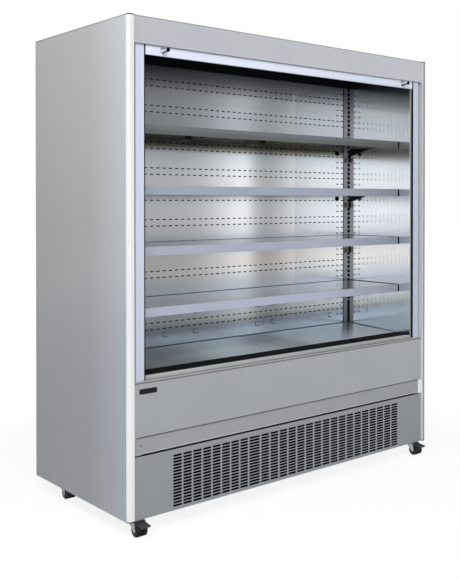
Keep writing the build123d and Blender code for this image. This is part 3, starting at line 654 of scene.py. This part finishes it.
sheet = 1.5 * mm
inlet_low, inlet_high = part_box("grille_panel")
slot_groups = ((-680.6, 43.2, 49.3, 8), (-285.6, 59.2, 60.0, 1), (-219.0, 46.4, 53.3, 17))
slot_rows = 17
slot_row_pitch = 12.3 * mm
slot_height = 8.5 * mm
slot_foot = 14.0 * mm
slot_columns = [
    span
    for first, length, pitch, count in slot_groups
    for span in spans_of(first * mm, pitch * mm, length * mm, count)
]
slot_levels = spans_of(inlet_low.z + slot_foot, slot_row_pitch, slot_height, slot_rows)
inlet_shape = bmesh.new()
face_high = Vector((inlet_high.x, inlet_low.y + sheet, inlet_high.z))
pierced(inlet_shape, "y", slot_columns, slot_levels, inlet_low, face_high, 4)
for foot in (inlet_low.z, inlet_high.z - sheet):
    bar(inlet_shape, inlet_low.x, inlet_high.x, face_high.y, inlet_high.y, foot, foot + sheet)
# The cut edges of the slots lie in shade.
inlet_steel = panel_steels["grille_panel"]
for turned in (-1, 1):
    for way in ("X", "Z"):
        facing(inlet_steel, way, turned, 0.3, srgb(16, 16, 16))
new_piece("air_inlet_panel", inlet_shape, inlet_steel, "cabinet", ("grille_panel",))

# A black filter mat stands between the folded edges, close behind the slots.
mat_front = inlet_low.y + 3.5 * mm
mat_depth = 4 * mm
mat_margin = 3 * mm
mat_shape = bmesh.new()
bar(
    mat_shape, inlet_low.x + mat_margin, inlet_high.x - mat_margin, mat_front,
    mat_front + mat_depth, inlet_low.z + sheet, inlet_high.z - sheet,
)
mat_black = finish_of("mat_black", srgb(8, 8, 8), srgb(5, 5, 5), 0.95, 0.04)
surface_of(mat_black)["Specular IOR Level"].default_value = 0.0
new_piece("filter_mat", mat_shape, mat_black, "cabinet")

# ---- Insulated carcass ----------------------------------------------------------------------
# Foamed side walls, rear wall, roof and tub with galvanised skins. The front edges of the side
# walls carry a grey plastic strip that shows in the pocket behind the blind guides.
zinc_skin = finish_of(
    "zinc_skin", srgb(178, 181, 184), srgb(158, 162, 166), 0.45, 0.08, 0.4, EVEN, 0.06, 14.0
)
dress(("rear_wall", "insulated_roof", "insulated_tub"), zinc_skin, 0.6 * mm)
beam_dark = finish_of("beam_dark", srgb(40, 40, 38), srgb(32, 32, 31), 0.8, 0.1)
dress("front_beam", beam_dark, 0.6 * mm)

# At the right end of the strip panel a white plate shows, at the left end a filler of its own
# steel.
strip_low, strip_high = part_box("strip_panel")
plate_inner = 847.5 * mm
plate_outer = 864.2 * mm
plate_foot = 306.5 * mm
plate_top = 379.5 * mm
pocket_shape = bmesh.new()
filler_shape = bmesh.new()
for side, plate_shape, foot in ((1, pocket_shape, plate_foot), (-1, filler_shape, strip_low.z)):
    bar(
        plate_shape, side * plate_inner, side * plate_outer, strip_low.y - 1.2 * mm,
        strip_low.y - 0.1 * mm, foot, plate_top,
    )
# A painted shadow line under the fascia, and a painted highlight along the foot of the strip.
fascia_shadow_brown = finish_of("fascia_shadow_brown", srgb(110, 103, 95), srgb(100, 94, 87), 0.6, 0.1)
edge_highlight = finish_of("edge_highlight", srgb(206, 209, 210), srgb(200, 203, 205), 0.4, 0.05)
for name, finish, foot, top in (
    ("fascia_shadow_line", fascia_shadow_brown, 373.8, 379.6), ("strip_foot_highlight", edge_highlight, 312.1, 315.4),
):
    line_shape = bmesh.new()
    bar(
        line_shape, strip_low.x + 0.2 * mm, strip_high.x - 0.2 * mm, strip_low.y - 0.3 * mm,
        strip_low.y - 0.02 * mm, foot * mm, top * mm,
    )
    new_piece(name, line_shape, finish, "cabinet")
plate_white = finish_of("plate_white", srgb(250, 250, 250), srgb(246, 246, 246), 0.4, 0.05)
new_piece("pocket_plate_right", pocket_shape, plate_white, "cabinet")
strip_steel = panel_steels["strip_panel"]
new_piece("strip_filler_left", filler_shape, strip_steel, "cabinet")
wall_grey = finish_of("wall_grey", srgb(150, 152, 156), srgb(140, 142, 147), 0.5, 0.06, 0.1)
dress("side_walls", wall_grey, 0.6 * mm)

# ---- Blind guides and gaskets ---------------------------------------------------------------
# Pale blue-grey coated trims down both sides of the opening, with a bright bead along the inner
# edge. A black gasket seals each trim to the wall behind it.
guide_blue = finish_of(
    "guide_blue", srgb(199, 207, 223), srgb(195, 203, 219), 0.4, 0.04, 0.1, UP_Z, 0.03
)
dress("guide_trims", guide_blue, 0.5 * mm)
gasket_black = finish_of("gasket_black", srgb(12, 12, 12), srgb(8, 8, 8), 0.8, 0.1)
surface_of(gasket_black)["Specular IOR Level"].default_value = 0.1
gasket_grey = finish_of("gasket_grey", srgb(78, 85, 98), srgb(70, 77, 90), 0.6, 0.1)
dress("guide_gaskets", gasket_grey)

# The lip of the gasket shows as a black line between the trim and the liner.
lip_inner = 805.4 * mm
lip_outer = 808.0 * mm
lip_shape = bmesh.new()
trim_low, trim_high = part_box("guide_trims")
for side in (-1, 1):
    bar(
        lip_shape, side * lip_inner, side * lip_outer, trim_low.y + 0.6 * mm,
        trim_low.y + 9.5 * mm, trim_low.z + 1 * mm, trim_high.z - 1 * mm,
    )
gasket_lips = new_piece("gasket_lips", lip_shape, gasket_black, "cabinet")


# ---- Side liners and ceiling ----------------------------------------------------------------
# Bright annealed steel liners that mirror the shelves, and a black ceiling with the outlet that
# the air curtain falls from.
def brushed(material):
    """Draw mirrored light out up and down, as on a panel that is brushed along X."""
    surface_of(material)["Anisotropic"].default_value = 1.0
    surface_of(material)["Anisotropic Rotation"].default_value = 0.25


mirror_steel = finish_of(
    "mirror_steel", srgb(240, 242, 244), srgb(236, 238, 241), 0.08, 0.004, 1.0, UP_Z, 0.0
)
brushed(mirror_steel)
dress("side_liners", mirror_steel)
ceiling_black = finish_of("ceiling_black", srgb(7, 7, 9), srgb(5, 5, 6), 0.8, 0.1)
surface_of(ceiling_black)["Specular IOR Level"].default_value = 0.05
dress("ceiling_panel", ceiling_black)

# ---- Back panels ----------------------------------------------------------------------------
# Satin steel panels with rows of short slots that let cold air into each bay. Two columns next
# to the uprights have a slot in every row. Small hooked tabs are lanced out above the deck.
back_steel, top_steel = [
    finish_of(name, srgb(233, 235, 238), srgb(227, 230, 234), rough, spread, 1.0, ACROSS_X, 0.0)
    for name, rough, spread in (("back_steel", 0.1, 0.002), ("top_steel", 0.17, 0.005))
]
brushed(back_steel)
brushed(top_steel)
# Painted shade and painted reflection: the upper panel is painted darker towards the left and
# towards its foot.
along(top_steel, "X", ((-805, 0.66), (-300, 0.86), (60, 1.0), (805, 1.0)))
along(
    top_steel,
    "Z",
    (
        (1612, 0.62, 0.64, 0.66), (1660, 0.64, 0.66, 0.68), (1740, 0.72, 0.75, 0.77),
        (1780, 1.0, 1.0, 1.0), (1886, 1.0, 1.0, 1.0),
    ),
)
# Painted reflection and painted shade: the lower panel is painted in light and dark bands up its
# height, with a painted brown reflection just under the top shelf.
along(
    back_steel,
    "Z",
    (
        (626, 0.62, 0.71, 0.8), (640, 0.59, 0.68, 0.76), (670, 0.51, 0.59, 0.66),
        (700, 0.47, 0.5, 0.5), (730, 0.75, 0.73, 0.64), (800, 0.78, 0.84, 0.88),
        (870, 0.79, 0.85, 0.92), (900, 0.77, 0.78, 0.8), (950, 1.0, 0.95, 0.89),
        (1000, 0.98, 0.91, 0.84), (1110, 0.78, 0.81, 0.87), (1140, 0.87, 0.86, 0.86),
        (1200, 0.98, 0.98, 0.98), (1400, 0.93, 0.93, 0.93), (1450, 0.87, 0.9, 0.9),
        (1500, 0.77, 0.8, 0.82), (1520, 0.54, 0.52, 0.46), (1540, 0.34, 0.31, 0.25),
        (1570, 0.49, 0.43, 0.34), (1612, 0.49, 0.43, 0.35),
    ),
)
dash_length = 20.0 * mm
dash_height = 5.0 * mm
dash_columns = 45
dash_reach = 753.0 * mm
dash_pitch = 2 * dash_reach / (dash_columns - 1)
dash_row_pitch = 28.95 * mm
dash_spans = spans_of(-dash_reach - dash_length / 2, dash_pitch, dash_length, dash_columns)


def slotted_back(name, node, steel, lowest, rows, first_pair):
    """Rows come in pairs, with two plain rows left out between one pair and the next."""

    def opened(i, j):
        return i < 2 or i >= dash_columns - 2 or (j - first_pair) % 4 < 2

    levels = spans_of(lowest - dash_height / 2, dash_row_pitch, dash_height, rows)
    shape = bmesh.new()
    pierced(shape, "y", dash_spans, levels, *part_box(node), 2, opened)
    new_piece(name, shape, steel, "cabinet", (node,))


slotted_back("back_panel_top", "back_panel_upper", top_steel, 1678.4 * mm, 7, 0)
slotted_back("back_panel_foot", "back_panel_lower", back_steel, 676.0 * mm, 32, 1)


def lathe(shape, profile, centre, around=32):
    """Turn (distance, radius) points in mm round a line that runs forward from centre."""
    axis = Vector((0, -1, 0))
    side_way = axis.orthogonal().normalized()
    up_way = axis.cross(side_way)
    rings = []
    for distance, radius in profile:
        middle = Vector(centre) + axis * distance * mm
        spokes = [
            side_way * cos(2 * pi * n / around) + up_way * sin(2 * pi * n / around)
            for n in range(around if radius else 1)
        ]
        rings.append([shape.verts.new(middle + spoke * radius * mm) for spoke in spokes])
    for before, after in zip(rings, rings[1:]):
        for n in range(around):
            if len(after) == 1:
                shape.faces.new((before[n - 1], before[n], after[0]))
            else:
                shape.faces.new((before[n - 1], before[n], after[n], after[n - 1]))


# Domed black plugs close the fixing holes under the shelves.
plug_low, plug_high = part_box("back_panel_plugs")
plug_side = (plug_low.x + plug_high.x) / 2
plug_inset = 11 * mm
plug_profile = ((0.0, 12.8), (2.0, 12.8), (4.6, 11.4), (5.7, 8.6), (6.0, 0.0))
plug_shape = bmesh.new()
for plug_height in (plug_low.z + plug_inset, plug_high.z - plug_inset):
    lathe(plug_shape, plug_profile, (plug_side, plug_high.y - 0.1 * mm, plug_height))
new_piece("wall_plugs", plug_shape, gasket_black, "cabinet", ("back_panel_plugs",))

tab_dark = finish_of("tab_dark", srgb(66, 68, 70), srgb(54, 56, 58), 0.5, 0.1, 0.3)
tab_shape = bmesh.new()
tab_half_width = 13.0
tab_half_height = 11.0
tab_line = 2.6
tab_proud = 0.5 * mm
panel_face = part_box("back_panel_lower")[0].y


def dark_line(left, right, foot, top):
    """A thin dark line on the back panel, in mm."""
    bar(
        tab_shape, left * mm, right * mm, panel_face - tab_proud, panel_face, foot * mm, top * mm
    )


for tab_side in (-407.0, -234.0, 147.0, 250.0, 661.0):
    for tab_level in (677.0, 770.0):
        left, right = tab_side - tab_half_width, tab_side + tab_half_width
        foot, top = tab_level - tab_half_height, tab_level + tab_half_height
        dark_line(left, left + tab_line, foot, top)
        dark_line(left + tab_line, right, foot, foot + tab_line)
        dark_line(left + tab_line, right, top - tab_line, top)
for spot_x, spot_z in ((191.0, 682.0), (746.0, 719.0)):
    dark_line(spot_x - 5, spot_x + 5, spot_z - 2.5, spot_z + 2.5)
new_piece("lanced_tabs", tab_shape, tab_dark, "cabinet")

duct_low, duct_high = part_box("back_panel_upper")
duct_front = duct_high.y + 6.0 * mm
duct_foot = 632 * mm
duct_shape = bmesh.new()
bar(
    duct_shape, duct_low.x, duct_high.x, duct_front, duct_front + sheet, duct_foot, duct_high.z
)
duct_black = finish_of("duct_black", srgb(30, 30, 31), srgb(22, 22, 23), 0.8, 0.1)
new_piece("duct_screen", duct_shape, duct_black, "cabinet")

# ---- Uprights -------------------------------------------------------------------------------
# Channel-shaped shelf standards in the rear corners with a row of slots next to the side wall.
upright_low, upright_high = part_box("shelf_uprights")
upright_steel = finish_of(
    "upright_steel", srgb(168, 169, 174), srgb(162, 163, 169), 0.35, 0.03, 0.8, UP_Z, 0.01
)
# Painted shade: the uprights are painted darker towards the deck.
along(upright_steel, "Z", ((626, 0.5), (730, 0.66), (820, 0.9), (1886, 0.9)))
# They stand flush with the back panel, with the slots open towards the side wall.
upright_face = panel_face - 2.5 * mm
upright_width = 38.5 * mm
upright_sheet = 1.4 * mm
slot_width = 9.5 * mm
notch_pitch = 23.8 * mm
notch_height = 17.0 * mm
slot_back = upright_face + upright_sheet
rear = upright_high.y - 0.1 * mm
dark_strip_foot = upright_low.z + 1 * mm
dark_strip_top = upright_high.z - 1 * mm
upright_shape = bmesh.new()
shade_and_seam_shape = bmesh.new()
for side in (-1, 1):
    inner = side * (upright_high.x - upright_width)
    slot_edge = side * (upright_high.x - slot_width)
    wall_side = side * (upright_high.x - 0.2 * mm)
    bar(upright_shape, inner, slot_edge, upright_face, rear, upright_low.z, upright_high.z)
    # A black strip behind the slots is painted shade inside the channel.
    bar(
        shade_and_seam_shape, slot_edge + side * 0.05 * mm, wall_side, slot_back, rear, dark_strip_foot,
        dark_strip_top,
    )
    # A dark seam runs down between the upright and the back panel.
    bar(
        shade_and_seam_shape, inner - side * 0.1 * mm, inner - side * 1.9 * mm, upright_face + 0.9 * mm,
        panel_face - 0.1 * mm, dark_strip_foot, dark_strip_top,
    )
    # The slots begin above the deck; below them the corner is an open groove, dark with the painted
    # shade behind it.
    bridge_foot = upright_low.z + 5 * notch_pitch
    while bridge_foot < upright_high.z - 8 * mm:
        bar(
            upright_shape, slot_edge, wall_side, upright_face + 0.2 * mm, slot_back, bridge_foot,
            bridge_foot + notch_pitch - notch_height,
        )
        bridge_foot += notch_pitch
new_piece(
    "upright_pair", upright_shape, upright_steel, "cabinet", ("shelf_uprights",)
)
new_piece("upright_shade_and_seam", shade_and_seam_shape, gasket_black, "cabinet")

# ---- Shelves, price rails, brackets ---------------------------------------------------------
# Folded steel trays on pressed cantilever brackets, with an aluminium rail for price labels
# along the front.
shelf_steel = finish_of(
    "shelf_steel", srgb(196, 199, 204), srgb(188, 191, 197), 0.2, 0.05, 0.95, ACROSS_X, 0.02
)
# The undersides are painted dark brown, painted shade with a painted brown reflection, and are less
# metallic.
shelf_under_shade = facing(shelf_steel, "Z", -1, 0.5, srgb(52, 44, 32))
shelf_metal = map_range(shelf_steel.node_tree, shelf_under_shade, 0, 1, 0.95, 0.3)
feed(shelf_steel.node_tree, surface_of(shelf_steel)["Metallic"], shelf_metal)
dress(["shelf_%d" % n for n in range(1, 5)], shelf_steel, 0.5 * mm)
rail_grey = finish_of(
    "rail_grey", srgb(192, 197, 215), srgb(187, 192, 210), 0.35, 0.02, 0.4, ACROSS_X, 0.01
)
# Painted shadow: the rails are painted darker the higher they hang, the top rail darkest under the
# canopy, and darker towards the right wall.
along(
    rail_grey,
    "Z",
    (
        (819, 1.0, 1.0, 1.0), (855, 1.0, 1.0, 1.0), (1062, 0.87, 0.87, 0.86),
        (1098, 0.87, 0.87, 0.86), (1305, 0.72, 0.74, 0.72), (1341, 0.72, 0.74, 0.72),
        (1548, 0.23, 0.23, 0.19), (1567, 0.24, 0.24, 0.2), (1569, 0.3, 0.31, 0.28),
        (1584, 0.3, 0.31, 0.28),
    ),
)
along(rail_grey, "X", ((-805, 1.0), (250, 1.0), (805, 0.66)))
dress("price_rails", rail_grey, 0.4 * mm)

# A dark joint shows where each shelf meets the back panel and the liners.
shelf_joint_dark = finish_of("shelf_joint_dark", srgb(84, 86, 90), srgb(74, 76, 80), 0.7, 0.1)
joint_width = 2.4 * mm
joint_gap = 0.2 * mm
for level in (1, 2, 3, 4):
    shelf_low, shelf_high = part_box("shelf_%d" % level)
    front, rear = shelf_low.y + 12 * mm, shelf_high.y - joint_width
    line_shape = bmesh.new()
    for x_from, x_to, y_from, y_to in (
        (shelf_low.x + 1 * mm, shelf_high.x - 1 * mm, rear, shelf_high.y - joint_gap),
        (shelf_high.x - joint_width, shelf_high.x - joint_gap, front, rear),
        (shelf_low.x + joint_gap, shelf_low.x + joint_width, front, rear),
    ):
        foot, top = shelf_high.z - 0.2 * mm, shelf_high.z + 1.2 * mm
        bar(line_shape, x_from, x_to, y_from, y_to, foot, top)
    new_piece("shelf_joint_%d" % level, line_shape, shelf_joint_dark, "cabinet")

# Black plastic ends close the rails beside the wall. Each bracket hooks into its upright with a
# pale heel below the black arm.
rail_low, rail_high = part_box("price_rails")
rail_end_inner = 799.5 * mm
rail_end_drop = 36.3 * mm
heel_inner = 774.0 * mm
heel_outer = 800.0 * mm
heel_drop = 96 * mm
heel_top_drop = 70 * mm
rail_end_shape = bmesh.new()
heel_shape = bmesh.new()
for side in (-1, 1):
    for level in (1, 2, 3, 4):
        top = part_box("shelf_%d" % level)[1].z
        bar(
            rail_end_shape, side * rail_end_inner, side * rail_high.x, rail_low.y - 0.5 * mm,
            rail_high.y + 0.3 * mm, top - rail_end_drop, top + 0.2 * mm,
        )
        bar(
            heel_shape, side * heel_inner, side * heel_outer, upright_face - 5 * mm,
            upright_face - 0.1 * mm, top - heel_drop, top - heel_top_drop,
        )
new_piece("rail_ends", rail_end_shape, gasket_black, "cabinet")
bracket_steel = finish_of("bracket_steel", srgb(30, 28, 25), srgb(24, 22, 20), 0.5, 0.05, 0.2)
dress("shelf_brackets", bracket_steel, 0.4 * mm)
heel_grey = finish_of("heel_grey", srgb(128, 124, 112), srgb(112, 108, 98), 0.4, 0.05, 0.5)
heels = new_piece("bracket_heels", heel_shape, heel_grey, "cabinet")
round_edges(heels, 1.2 * mm)

# ---- Deck, return-air honeycomb, ledge ------------------------------------------------------
# The lowest shelf is a sloping steel tray. In front of it lies a black honeycomb that the air
# goes back through, then a pale ledge with a groove over the fascia, painted brown as shade.
deck_steel = finish_of(
    "deck_steel", srgb(236, 247, 255), srgb(231, 243, 252), 0.16, 0.01, 0.35, ACROSS_X, 0.0
)
# Painted reflection: the deck is painted in light and dark bands across its width, the studio it
# would mirror.
along(
    deck_steel,
    "X",
    (
        (-805, 0.4), (-560, 0.36), (-440, 0.5), (-320, 0.85), (-200, 1.0), (-80, 1.0), (0, 0.8),
        (60, 0.66), (160, 0.64), (260, 0.95), (320, 1.0), (500, 1.0), (805, 0.9),
    ),
)
dress("deck_tray", deck_steel, 0.4 * mm)

# Dark joints run where the deck meets the back panel and the liners.
joint_dark = finish_of("joint_dark", srgb(70, 76, 82), srgb(58, 64, 70), 0.7, 0.1)
deck_low, deck_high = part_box("deck_tray")
joint_shape = bmesh.new()
bar(
    joint_shape, deck_low.x + 1 * mm, deck_high.x - 1 * mm, panel_face - 2.2 * mm,
    panel_face - 0.1 * mm, deck_high.z + 0.1 * mm, deck_high.z + 2.2 * mm,
)
joint_front, joint_rear = deck_low.y + 4 * mm, panel_face - 2.4 * mm
front_foot, rear_foot = 610.4 * mm, deck_high.z + 0.4 * mm
joint_height = 2.0 * mm
side_joint = (
    (joint_front, front_foot),
    (joint_rear, rear_foot),
    (joint_rear, rear_foot + joint_height),
    (joint_front, front_foot + joint_height),
)
joint_inner = 802.6 * mm
joint_outer = 804.7 * mm
for side in (-1, 1):
    drawn(joint_shape, side_joint, "x", side * joint_inner, side * joint_outer)
new_piece("deck_joints", joint_shape, joint_dark, "cabinet")
comb_black = finish_of("comb_black", srgb(16, 16, 16), srgb(11, 11, 11), 0.6, 0.1)
surface_of(comb_black)["Specular IOR Level"].default_value = 0.25
comb_low, comb_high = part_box("return_air_grille")
comb_border = 5.0 * mm
comb_pitch = 9.0 * mm
comb_wall = 1.6 * mm
comb_spans = []
for start, end in ((comb_low.x, comb_high.x), (comb_low.y, comb_high.y)):
    width = end - start - 2 * comb_border
    count = int(width / comb_pitch)
    pitch = width / count
    comb_spans.append(
        spans_of(start + comb_border + comb_wall / 2, pitch, pitch - comb_wall, count)
    )
comb_shape = bmesh.new()
pierced(comb_shape, "z", *comb_spans, comb_low, comb_high, 2)
new_piece(
    "return_honeycomb", comb_shape, comb_black, "cabinet", ("return_air_grille",)
)
ledge_pale = finish_of(
    "ledge_pale", srgb(184, 187, 188), srgb(177, 180, 181), 0.4, 0.03, 0.2, ACROSS_X
)
dress("front_ledge", ledge_pale, 0.2 * mm)

# Painted shade darkens one groove along the slope of the ledge brown, and a brown painted shadow
# line runs along the top edge of the fascia.
# Black stops stand beside the walls.
groove_shade_brown = finish_of("groove_shade_brown", srgb(116, 112, 106), srgb(106, 102, 97), 0.6, 0.1)
ledge_low, ledge_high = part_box("front_ledge")
slope_start = (7.8, 591.5)
slope_end = (30.0, 597.0)
slope_rise = (slope_end[1] - slope_start[1]) / (slope_end[0] - slope_start[0])
groove_from, groove_to = 12.6, 16.4
groove_foot, groove_top = -0.5, 0.25
case_front = -361.0
groove_outline = [
    ((case_front + at) * mm, (slope_start[1] + (at - slope_start[0]) * slope_rise + lift) * mm)
    for at, lift in (
        (groove_from, groove_foot), (groove_to, groove_foot), (groove_to, groove_top),
        (groove_from, groove_top),
    )
]
groove_shade_shape = bmesh.new()
drawn(groove_shade_shape, groove_outline, "x", ledge_low.x + 0.5 * mm, ledge_high.x - 0.5 * mm)
fascia_low, fascia_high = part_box("fascia_panel")
bar(
    groove_shade_shape, fascia_low.x + 0.3 * mm, fascia_high.x - 0.3 * mm, fascia_low.y - 0.4 * mm,
    fascia_low.y - 0.02 * mm, fascia_high.z - 7.4 * mm, fascia_high.z - 2.6 * mm,
)
new_piece("ledge_groove_shade", groove_shade_shape, groove_shade_brown, "cabinet")
stop_inner = 794.0 * mm
stop_outer = 804.4 * mm
stop_foot = 594 * mm
stop_top = 610 * mm
stop_shape = bmesh.new()
for side in (-1, 1):
    bar(
        stop_shape, side * stop_inner, side * stop_outer, ledge_high.y - 12 * mm,
        ledge_high.y + 1 * mm, stop_foot, stop_top,
    )
new_piece("ledge_stops", stop_shape, gasket_black, "cabinet")

# ---- Night blind ----------------------------------------------------------------------------
# The blind's pull bar is a pale extrusion with a bright rounded lip. Two tapered chrome knobs
# with black ends stand on it. The cloth winds on a sprung roller behind the canopy.
bar_pale = finish_of(
    "bar_pale", srgb(222, 227, 241), srgb(216, 221, 237), 0.35, 0.04, 0.15, ACROSS_X, 0.02
)
dress("blind_bar", bar_pale, 0.3 * mm)
knob_low, knob_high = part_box("bar_knobs")
knob_chrome = finish_of("knob_chrome", srgb(236, 238, 242), srgb(226, 229, 234), 0.16, 0.03, 0.85)
knob_profile = (
    (0.0, 13.2), (1.5, 13.2), (2.6, 12.4), (4.0, 12.0), (27.5, 7.9), (29.0, 8.3), (38.6, 8.3),
    (40.0, 7.4),
)
tip_profile = ((37.5, 8.5), (39.4, 8.5), (40.0, 7.8), (40.0, 0.0))
knob_shape = bmesh.new()
tip_shape = bmesh.new()
knob_side = knob_high.x - knob_profile[0][1] * mm
knob_height = (knob_low.z + knob_high.z) / 2
for side in (-1, 1):
    seat = (side * knob_side, knob_high.y, knob_height)
    lathe(knob_shape, knob_profile, seat)
    lathe(tip_shape, tip_profile, seat)
new_piece("bar_knob_pair", knob_shape, knob_chrome, "night_blind", ("bar_knobs",))
new_piece("knob_tip_pair", tip_shape, gasket_black, "night_blind")

cloth_silver = finish_of("cloth_silver", srgb(196, 199, 204), srgb(186, 190, 196), 0.5, 0.08, 0.5)
cloth_low, cloth_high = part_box("blind_fabric")
cloth_width = cloth_high.x - cloth_low.x
cloth_height = cloth_high.z - cloth_low.z
cloth_depth = (cloth_low.y + cloth_high.y) / 2
cloth_rows = 120
cloth_columns = 40
cloth_shape = bmesh.new()
last_row = None
for j in range(cloth_rows + 1):
    height = cloth_low.z + cloth_height * j / cloth_rows
    row = [
        cloth_shape.verts.new((cloth_low.x + cloth_width * i / cloth_columns, cloth_depth, height))
        for i in range(cloth_columns + 1)
    ]
    if last_row:
        for i in range(cloth_columns):
            cloth_shape.faces.new((last_row[i], last_row[i + 1], row[i + 1], row[i]))
    last_row = row
cloth = placed("blind_cloth", mesh_of("blind_cloth", cloth_shape, cloth_silver))
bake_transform(cloth)
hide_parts("blind_fabric")
dress("blind_roller", cloth_silver)
zinc_bright = finish_of("zinc_bright", srgb(190, 192, 194), srgb(176, 178, 181), 0.35, 0.08, 0.8)
dress("roller_brackets", zinc_bright, 0.3 * mm)

# ---- Machine bay ----------------------------------------------------------------------------
# Galvanised base pan, condenser with its fan, compressor, drain tray and rear service panel.
dress(("base_pan", "drip_tray", "condenser_shroud", "evaporator_fan_plate"), zinc_skin)
dress("rear_service_panel", zinc_skin, 0.3 * mm)
fin_silver = finish_of("fin_silver", srgb(150, 152, 154), srgb(120, 122, 124), 0.4, 0.1, 0.8, UP_Z)
dress(("condenser", "evaporator"), fin_silver)
shell_black = finish_of("shell_black", srgb(34, 34, 35), srgb(26, 26, 27), 0.35, 0.08)
dress("compressor", shell_black)
fan_dark = finish_of("fan_dark", srgb(58, 58, 60), srgb(48, 48, 50), 0.45, 0.08)
dress(("condenser_fan", "evaporator_fan_left", "evaporator_fan_right"), fan_dark)

# ---- Castors --------------------------------------------------------------------------------
# Swivel castors with pressed zinc-plated forks and twin black wheels. The front pair has a
# tread pedal that brakes the wheels.
castor_zinc = finish_of("castor_zinc", srgb(222, 221, 216), srgb(206, 204, 198), 0.3, 0.06, 0.6)
tyre_black = finish_of("tyre_black", srgb(9, 9, 10), srgb(6, 6, 7), 0.4, 0.08)
pedal_grey = finish_of("pedal_grey", srgb(60, 63, 70), srgb(50, 53, 60), 0.4, 0.1)
corners = ("front_left", "front_right", "rear_left", "rear_right")
dress("castor_mounts", cap_black)
dress(["fork_" + corner for corner in corners], castor_zinc, 0.3 * mm)
dress(["wheels_" + corner for corner in corners], tyre_black)
dress(("pedal_front_left", "pedal_front_right"), pedal_grey, 0.4 * mm)

# The frame of the opening and the bracket arms are kept out of the mirrored picture.
for name in ("guide_gaskets", "guide_trims", "side_walls", "shelf_brackets"):
    nodes[name].visible_glossy = False
for piece in (gasket_lips, corner_post_pair):
    piece.visible_glossy = False
